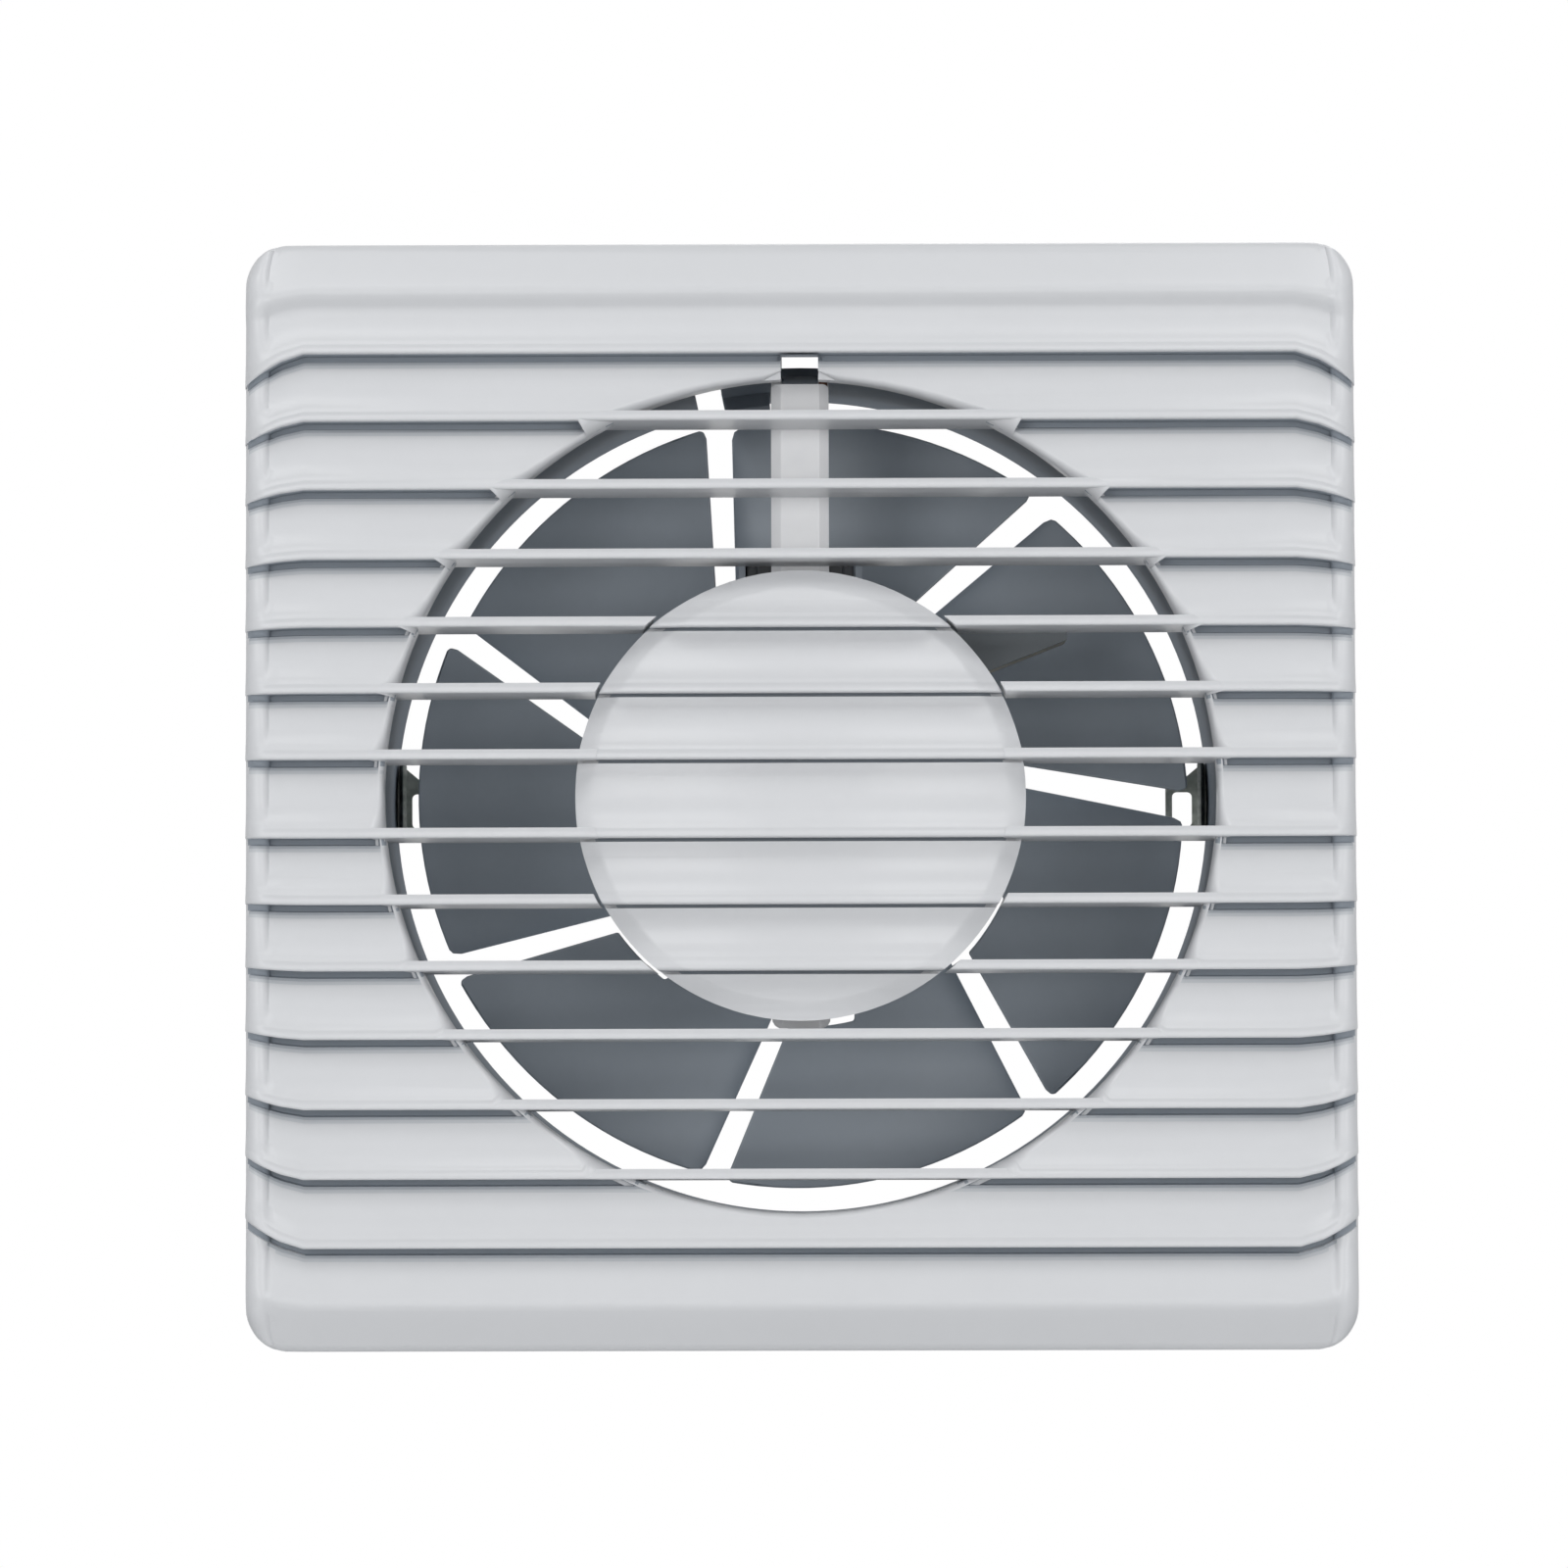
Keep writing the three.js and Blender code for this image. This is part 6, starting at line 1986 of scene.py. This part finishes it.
@dataclass
class Impeller(SubAssembly):
    """The blades and hub, with the shaft, rotor, washers and clip that turn with them."""

    blades: int = 7
    tip: float = 57.2
    inner: float = 33.3
    thickness: float = 1.8
    front: float = 17.2
    rise: float = 0.245
    camber: float = 0.9
    phase: float = -10.3
    leading: float = 11.55
    trailing: float = 7.85
    gap_taper: Flat = (-0.35, 0.55)
    neck: float = 0.365
    hub: float = 24.0
    hub_wall: float = 1.8
    hub_front: float = 16.4
    hub_back: float = 33.2
    rib_half: float = 0.6
    rib_turn: float = 10.0
    boss: float = 5.5
    boss_front: float = 19.4
    shaft: float = 2.0
    gap: float = 2.06
    shaft_front: float = -9.8
    shaft_back: float = 36.0
    rotor: float = 9.1
    rotor_front: float = -1.7
    rotor_back: float = 9.7
    washer: float = 4.0
    washer_thickness: float = 1.5
    clip_outer: float = 4.6
    clip_inner: float = 3.1
    clip_reach: int = 140
    clip_step: int = 7
    clip_thickness: float = 0.8
    play: float = 0.2

    NECK_COLUMNS: ClassVar[int] = 7
    BLADE_COLUMNS: ClassVar[int] = 20

    def edge(self, offset: float, radius: float) -> float:
        """Gives the angle in degrees at which a straight swept edge crosses a radius."""
        return self.phase + math.degrees(math.asin(offset / radius))

    def blade_point(self, radius: float, share: float, behind: float, turn: float) -> Point:
        """Places a point of a blade.

        Args:
            radius: Its distance from the axis.
            share: How far it is from the leading to the trailing edge.
            behind: How far behind the blade's front it is.
            turn: The blade's own angle in degrees.

        Returns:
            The point.
        """
        inward = max(0.0, min(1.0, (self.tip - radius) / (self.tip - self.inner)))
        start = self.edge(self.leading + self.gap_taper[0] * inward, radius)
        end = (self.edge(self.trailing + self.gap_taper[1] * inward, radius)
               + 360 / self.blades)
        degrees = start + (end - start) * share
        lead = self.edge(self.leading, self.tip)
        camber = self.camber * 4 * share * (1 - share)
        along = self.front + self.rise * (degrees - lead) + camber + behind
        angle = math.radians(degrees + turn)
        return (radius * math.cos(angle), along, radius * math.sin(angle))

    def blade(self, draft: MeshDraft, turn: float) -> None:
        """Makes one blade as a closed skin with thinned edges.

        Args:
            draft: Where it goes.
            turn: The blade's own angle in degrees.
        """
        radii = [self.hub - 0.9, 25.2, 27.5, 30.0, 32.0, self.inner, 38.5, 42.0, 46.0, 50.0,
                 53.5, 55.8, 56.9, self.tip]
        trims = {self.tip: 0.022, 56.9: 0.008}
        neck_row, neck, wide = radii.index(self.inner), self.NECK_COLUMNS, self.BLADE_COLUMNS
        shares = [self.neck * index / neck for index in range(neck)]
        shares += [self.neck + (1 - self.neck) * index / (wide - neck)
                   for index in range(wide - neck + 1)]

        def row(radius: float, behind: float) -> list[Point]:
            """Makes one row across the blade."""
            trim = trims.get(radius, 0.0)
            return [self.blade_point(radius, min(max(share, trim), 1 - trim) + 1e-5 * index,
                                     behind, turn) for index, share in enumerate(shares)]

        front = [draft.add(row(radius, 0.0)) for radius in radii]
        back = [draft.add(row(radius, self.thickness)) for radius in radii]
        for grid in (front, back):
            for low in range(len(radii) - 1):
                first = neck if low < neck_row else 0
                draft.bridge(grid[low][first:], grid[low + 1][first:], closed=False)
        last_row, last = len(radii) - 1, len(shares) - 1
        outline = [
            *((index, neck) for index in range(neck_row)),
            *((neck_row, column) for column in range(neck, -1, -1)),
            *((index, 0) for index in range(neck_row + 1, last_row + 1)),
            *((last_row, column) for column in range(1, last + 1)),
            *((index, last) for index in range(last_row - 1, -1, -1)),
            *((0, column) for column in range(last - 1, neck, -1)),
        ]
        draft.bridge([front[index][column] for index, column in outline],
                     [back[index][column] for index, column in outline])

    def wheel(self) -> None:
        """Makes the blades and the hub cup with its ribs."""
        turns = [index * 360 / self.blades for index in range(self.blades)]
        blades = MeshDraft()
        for turn in turns:
            self.blade(blades, turn)
        piece = blades.make("fan_blades", crease_degrees=50.0)
        soften(piece, 0.38, degrees=55.0, segments=3)
        self.dress(piece, BLADE_FINISH, "impeller")
        outer, inner, boss = self.hub, self.hub - self.hub_wall, self.boss
        front, back, floor = self.hub_front, self.hub_back, self.hub_back - self.hub_wall
        hub = MeshDraft()
        hub.lathe([
            (self.gap, back), (3.0, back), (3.4, back - 0.35), (9.0, back - 0.35), (9.6, back),
            (outer - 2.2, back), (outer - 1.0, back - 0.25), (outer - 0.25, back - 0.9),
            (outer, back - 2.0), (outer, front + 0.4), (outer - 0.4, front),
            (inner + 0.3, front), (inner, front + 0.4), (inner, floor - 1.0),
            (inner - 0.6, floor), (boss + 0.8, floor), (boss, floor - 0.8),
            (boss, self.boss_front + 0.4), (boss - 0.4, self.boss_front),
            (self.gap, self.boss_front),
        ], 112)
        section = [(boss - 0.5, floor - 7.0), (boss + 3.0, floor - 3.0),
                   (inner + 0.3, floor - 2.0), (inner + 0.3, floor + 0.2),
                   (boss - 0.5, floor + 0.2)]
        for turn in turns:
            hub.loft([swung(section, math.radians(turn + self.rib_turn), side)
                      for side in (-self.rib_half, self.rib_half)])
        self.form(hub, "fan_hub", BLADE_FINISH)

    def axle(self) -> None:
        """Makes the shaft, the rotor and the washers."""
        front, back, radius = self.shaft_front, self.shaft_back, self.shaft
        shaft = MeshDraft()
        shaft.lathe([(0.0, front), (radius - 0.4, front), (radius, front + 0.4),
                     (radius, back - 0.5), (radius - 0.5, back), (0.0, back)], 48, closed=False)
        self.form(shaft, "motor_shaft", BRIGHT_FINISH, "shaft")
        low, high, outer = self.rotor_front, self.rotor_back, self.rotor
        ring = outer - 0.9
        rotor = MeshDraft()
        rotor.lathe([(self.gap, low), (outer - 1.2, low), (ring, low + 0.3), (ring, low + 1.3),
                     (outer, low + 1.4), (outer, high - 1.4), (ring, high - 1.3),
                     (ring, high - 0.3), (outer - 1.2, high), (self.gap, high)], 72)
        self.form(rotor, "cage_rotor", BRIGHT_FINISH, "rotor")
        rim, thick = self.washer, self.washer_thickness
        for word, place in (("front", low - thick - self.play), ("rear", high + self.play)):
            washer = MeshDraft()
            washer.lathe([(self.gap, place), (rim - 0.2, place), (rim, place + 0.2),
                          (rim, place + thick - 0.2), (rim - 0.2, place + thick),
                          (self.gap, place + thick)], 48)
            self.form(washer, f"fibre_washer_{word}", FIBRE_FINISH, f"{word}_washer")

    def clip(self) -> None:
        """Makes the push-on clip that keeps the impeller on the shaft."""
        reach, step = self.clip_reach, self.clip_step
        outline = arc(self.clip_outer, 90 - reach, 2 * reach, 2 * reach // step)
        for degrees in range(reach, -reach - 1, -step):
            turn = math.radians(degrees + 90)
            radius = self.clip_inner if abs(degrees) % 70 > 16 else self.gap + 0.02
            outline.append((radius * math.cos(turn), radius * math.sin(turn)))
        seat = self.hub_back + self.play
        clip = MeshDraft()
        clip.prism(outline, seat, seat + self.clip_thickness)
        self.form(clip, "shaft_clip", BRIGHT_FINISH, "impeller_clip", rounding=0.1)

    def build(self) -> None:
        """Makes everything that turns and dresses it."""
        self.wheel()
        self.axle()
        self.clip()


@dataclass
class MainsConnection(SubAssembly):
    """The terminal block, its screws, the cable clamp and the motor's two leads."""

    block_place: Flat = (53.6, 65.8)
    block_half: Flat = (10.0, 5.5)
    block_depth: float = 11.0
    well: float = 2.2
    entry_half: float = 1.2
    plate: float = -2.7
    pitch: float = 8.0
    clamp_place: Flat = (36.1, 69.05)
    clamp_half: Flat = (6.5, 2.25)
    clamp_depth: float = 4.5
    clamp_corner: float = 1.0
    clamp_pitch: float = 8.9
    clamp_arch: float = 2.65
    arch_steps: int = 12
    shank: float = 1.2
    slit_half: float = 0.28
    route: float = 67.15
    route_end: float = 84.5
    route_steps: int = 7
    lead_x: float = 3.4
    coil_top: float = 36.0
    lead_radius: float = 0.65

    def block(self) -> None:
        """Makes the terminal block with its wells, entries and screws."""
        across, up = self.block_place
        centres = {word: across + side * self.pitch / 2
                   for word, side in (("neutral", -1), ("live", 1))}
        front, middle = self.plate - self.block_depth, self.plate - self.block_depth / 2
        outline = rounded_rectangle(self.block_half, 0.8, 4, self.block_place)
        draft = MeshDraft()
        draft.prism(outline, front, middle,
                    holes=[circle(self.well, 32, (centre, up)) for centre in centres.values()])
        draft.prism(outline, middle, self.plate)
        entries = []
        half = self.entry_half
        for centre in centres.values():
            entries.append(MeshDraft())
            entries[-1].box((centre - half, centre + half), (middle - half, middle + half),
                            (up - 8.0, up - 2.5))
        self.form(draft, "connector_block", TERMINAL_FINISH, "terminal_block", cuts=entries,
                  rounding=0.25)
        for word, centre in centres.items():
            self.screw(f"clamping_screw_{word}", f"terminal_screw_{word}", (centre, up),
                       middle - 0.2, 1.7, 1.2, 0.1, BRASS_FINISH)

    def screw(self, name: str, node: str, centre: Flat, seat: float, head: float,
              height: float, length: float, finish: Finish) -> None:
        """Makes a small slotted screw.

        Args:
            name: The piece's name.
            node: The node it stands for.
            centre: Where it stands, (x, z).
            seat: Where its head's underside is.
            head: The head's radius.
            height: The head's height.
            length: The shank's length behind the seat.
            finish: Its finish.
        """
        front, end, shank = seat - height, seat + length, self.shank
        draft, slit = MeshDraft(), MeshDraft()
        draft.lathe([(0.0, front), (head * 0.75, front), (head, front + height * 0.45),
                     (head, seat), (shank, seat), (shank, end), (0.0, end)], 32, closed=False)
        draft.shift(*centre)
        slit.box((centre[0] - 3, centre[0] + 3), (front - 1, front + height * 0.4),
                 (centre[1] - self.slit_half, centre[1] + self.slit_half))
        self.form(draft, name, finish, node, cuts=[slit])

    def clamp(self) -> None:
        """Makes the cable clamp and its screws."""
        across, up = self.clamp_place
        wide, high = self.clamp_half
        front, corner = self.plate - self.clamp_depth, self.clamp_corner
        left, right = across - wide, across + wide
        outline = [(left, self.plate), (left, front + corner), (left + corner, front),
                   (right - corner, front), (right, front + corner), (right, self.plate)]
        outline.extend((across + reach, self.plate - rise)
                       for reach, rise in arc(self.clamp_arch, 0.0, 180.0, self.arch_steps))
        draft = MeshDraft()
        draft.prism(outline, up - high, up + high, Axis.Z)
        self.form(draft, "cord_clamp", TERMINAL_FINISH, "cable_clamp", rounding=0.25)
        for word, side in SIDES:
            centre = (across + side * self.clamp_pitch / 2, up)
            self.screw(f"cord_screw_{word}", f"clamp_screw_{word}", centre, front - 0.2, 2.2,
                       1.4, 4.5, BRIGHT_FINISH)

    def lead(self, word: str, side: int, start: float, depth: float, finish: Finish) -> None:
        """Makes a lead from the block, round the collar and down behind the arm to the coil.

        Args:
            word: The lead's word in the names: live or neutral.
            side: 1 for the block's right entry and -1 for its left one.
            start: The angle in degrees at which it joins the way round the collar.
            depth: Its place along the axis.
            finish: Its finish.
        """
        entry = self.block_place[0] + side * self.pitch / 2
        inside = self.plate - self.block_depth / 2
        low, down = self.block_place[1] - self.block_half[1], self.lead_x
        route, top = self.route, self.coil_top
        points = [(entry, inside, low + 1.5), (entry, inside + 0.2, low - 1.5)]
        points.extend((across, depth, up) for across, up in arc(
            route, start, self.route_end - start, self.route_steps))
        points.append((down + 0.6, depth, route - 1.2))
        points.extend((down, depth, up) for up in (route - 4, route - 10, top + 10, top + 0.2))
        draft = MeshDraft()
        draft.tube_along(smooth_path(points, 6), self.lead_radius, 14)
        self.form(draft, f"motor_lead_{word}", finish, f"lead_{word}")

    def build(self) -> None:
        """Makes the connection's pieces and dresses them."""
        self.block()
        self.clamp()
        self.lead("live", 1, 51.0, -6.75, LIVE_FINISH)
        self.lead("neutral", -1, 58.0, -4.8, NEUTRAL_FINISH)


def smooth_path(points: Sequence[Point], steps: int) -> list[Point]:
    """Runs a smooth curve through points.

    Args:
        points: The points.
        steps: How many steps each stretch has.

    Returns:
        The curve's points.
    """
    places = [Vector(point) for point in points]
    path = []
    for index in range(len(places) - 1):
        first = places[max(index - 1, 0)]
        second, third = places[index], places[index + 1]
        fourth = places[min(index + 2, len(places) - 1)]
        reach = (third - second).length
        leave = (third - first).normalized() * reach / 3
        arrive = (fourth - second).normalized() * reach / 3
        for step in range(steps):
            share = step / steps
            rest = 1 - share
            place = (second * rest**3 + (second + leave) * 3 * rest**2 * share
                     + (third - arrive) * 3 * rest * share**2 + third * share**3)
            path.append(tuple(place))
    path.append(tuple(places[-1]))
    return path


# ---- stage


@dataclass
class Studio:
    """The camera, the lamps, the world and the floor.

    The lamps' places and sizes and the near clip are in metres, the rest in millimetres.
    """

    camera_place: Point = (3.0, -872.0, -25.0)
    camera_target: Point = (-2.33, -22.0, 1.49)
    camera_roll: float = -0.15
    lens: float = 137.9
    sensor: float = 36.0
    near_clip: float = 0.05
    floor_height: float = -420.0
    floor_half: float = 1400.0
    floor_tones: tuple[str, str] = ("f2f2f2", "f6f6f6")
    floor_roughness: float = 0.7
    key_place: Point = (0.5, -0.85, 1.15)
    key_size: float = 0.6
    key_power: float = 4.0
    side_place: Point = (0.52, -1.3, 0.1)
    side_size: float = 0.5
    side_power: float = 3.25
    rear_place: Point = (0.3, 1.3, 0.9)
    rear_size: float = 0.8
    rear_power: float = 2.0
    world_level: float = 0.33
    world_colour: Point = (0.93, 0.96, 1.0)

    def camera(self) -> None:
        """Makes the camera at the photograph's viewing angle."""
        data = bpy.data.cameras.new("photo_camera")
        data.lens = self.lens
        data.sensor_width = self.sensor
        data.clip_start = self.near_clip
        camera = bpy.data.objects.new("photo_camera", data)
        bpy.context.scene.collection.objects.link(camera)
        place, target = Vector(self.camera_place) * MM, Vector(self.camera_target) * MM
        camera.location = place
        aim = (target - place).to_track_quat("-Z", "Y")
        roll = Quaternion((0.0, 0.0, 1.0), math.radians(self.camera_roll))
        camera.rotation_euler = (aim @ roll).to_euler()
        bpy.context.scene.camera = camera

    def lamp(self, name: str, place: Point, size: float, power: float) -> None:
        """Makes a soft square lamp aimed at the fan.

        Args:
            name: Its name.
            place: Where it is, in metres.
            size: Its side in metres.
            power: Its power in watts.
        """
        data = bpy.data.lights.new(name, "AREA")
        data.shape = "SQUARE"
        data.size = size
        data.energy = power
        lamp = bpy.data.objects.new(name, data)
        lamp.location = place
        lamp.rotation_euler = (-Vector(place)).to_track_quat("-Z", "Y").to_euler()
        bpy.context.scene.collection.objects.link(lamp)

    def world(self) -> None:
        """Makes the world: white where it is seen, softer where it lights."""
        world = bpy.data.worlds.new("white_room")
        world.use_nodes = True
        bpy.context.scene.world = world
        desk = NodeDesk(world.node_tree)
        desk.tree.nodes.clear()
        rays = desk.add("ShaderNodeLightPath")
        seen = desk.math("MAXIMUM", rays.outputs["Is Camera Ray"], rays.outputs["Is Glossy Ray"])
        seen = desk.math("MAXIMUM", seen, rays.outputs["Is Transmission Ray"])
        light, white = (
            desk.put("ShaderNodeBackground", {"Color": (*colour, 1.0), "Strength": strength})
            for colour, strength in ((self.world_colour, self.world_level),
                                     ((1.0, 1.0, 1.0), 1.0)))
        mix = desk.put("ShaderNodeMixShader", {0: seen, 1: light, 2: white})
        desk.join(mix, desk.add("ShaderNodeOutputWorld").inputs[0])

    def floor(self) -> None:
        """Makes the plain pale floor below the fan."""
        draft = MeshDraft()
        reach, height = self.floor_half, self.floor_height
        draft.grid([[(-reach, along, height), (reach, along, height)]
                    for along in (-reach, reach)])
        floor = draft.make("pale_floor")
        material = bpy.data.materials.new("pale_floor")
        material.use_nodes = True
        desk = NodeDesk(material.node_tree)
        shader = next(node for node in desk.tree.nodes if node.type == "BSDF_PRINCIPLED")
        tone = desk.spread(desk.noise(desk.coordinates(), 3.0, 2.0), 0.3, 0.7)
        first, second = (srgb(code) for code in self.floor_tones)
        desk.join(desk.mix(tone, first, second), shader.inputs["Base Color"])
        shader.inputs["Roughness"].default_value = self.floor_roughness
        floor.data.materials.append(material)

    def build(self) -> None:
        """Sets the stage."""
        self.camera()
        self.world()
        self.floor()
        for word, side in SIDES:
            for name, place, size, power in (
                    ("high", self.key_place, self.key_size, self.key_power),
                    ("side", self.side_place, self.side_size, self.side_power)):
                self.lamp(f"{name}_softbox_{word}", (side * place[0], *place[1:]), size, power)
        self.lamp("rear_softbox", self.rear_place, self.rear_size, self.rear_power)
        bpy.context.scene.view_settings.view_transform = "Standard"


def main() -> None:
    """Builds the fan round its frame, piece by piece."""
    logging.basicConfig(level=logging.INFO, format="%(name)s: %(message)s")
    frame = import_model()
    LOG.info("frame has %d nodes", len(frame["nodes"]))
    Studio().build()
    finishes = FinishLibrary()
    parts: list[tuple[str, Callable[[], None]]] = [
        ("front cover", FrontCover(finishes, Body.COVER).build),
        ("wall housing", WallHousing(finishes, Body.HOUSING).build),
        ("motor arm", MotorArm(finishes, Body.HOUSING).build),
        ("motor", Motor(finishes, Body.HOUSING).build),
        ("impeller", Impeller(finishes, Body.FAN).build),
        ("mains connection", MainsConnection(finishes, Body.HOUSING).build),
    ]
    for name, build in parts:
        build()
        LOG.info("%s is in place", name)


if __name__ == "__main__":
    main()
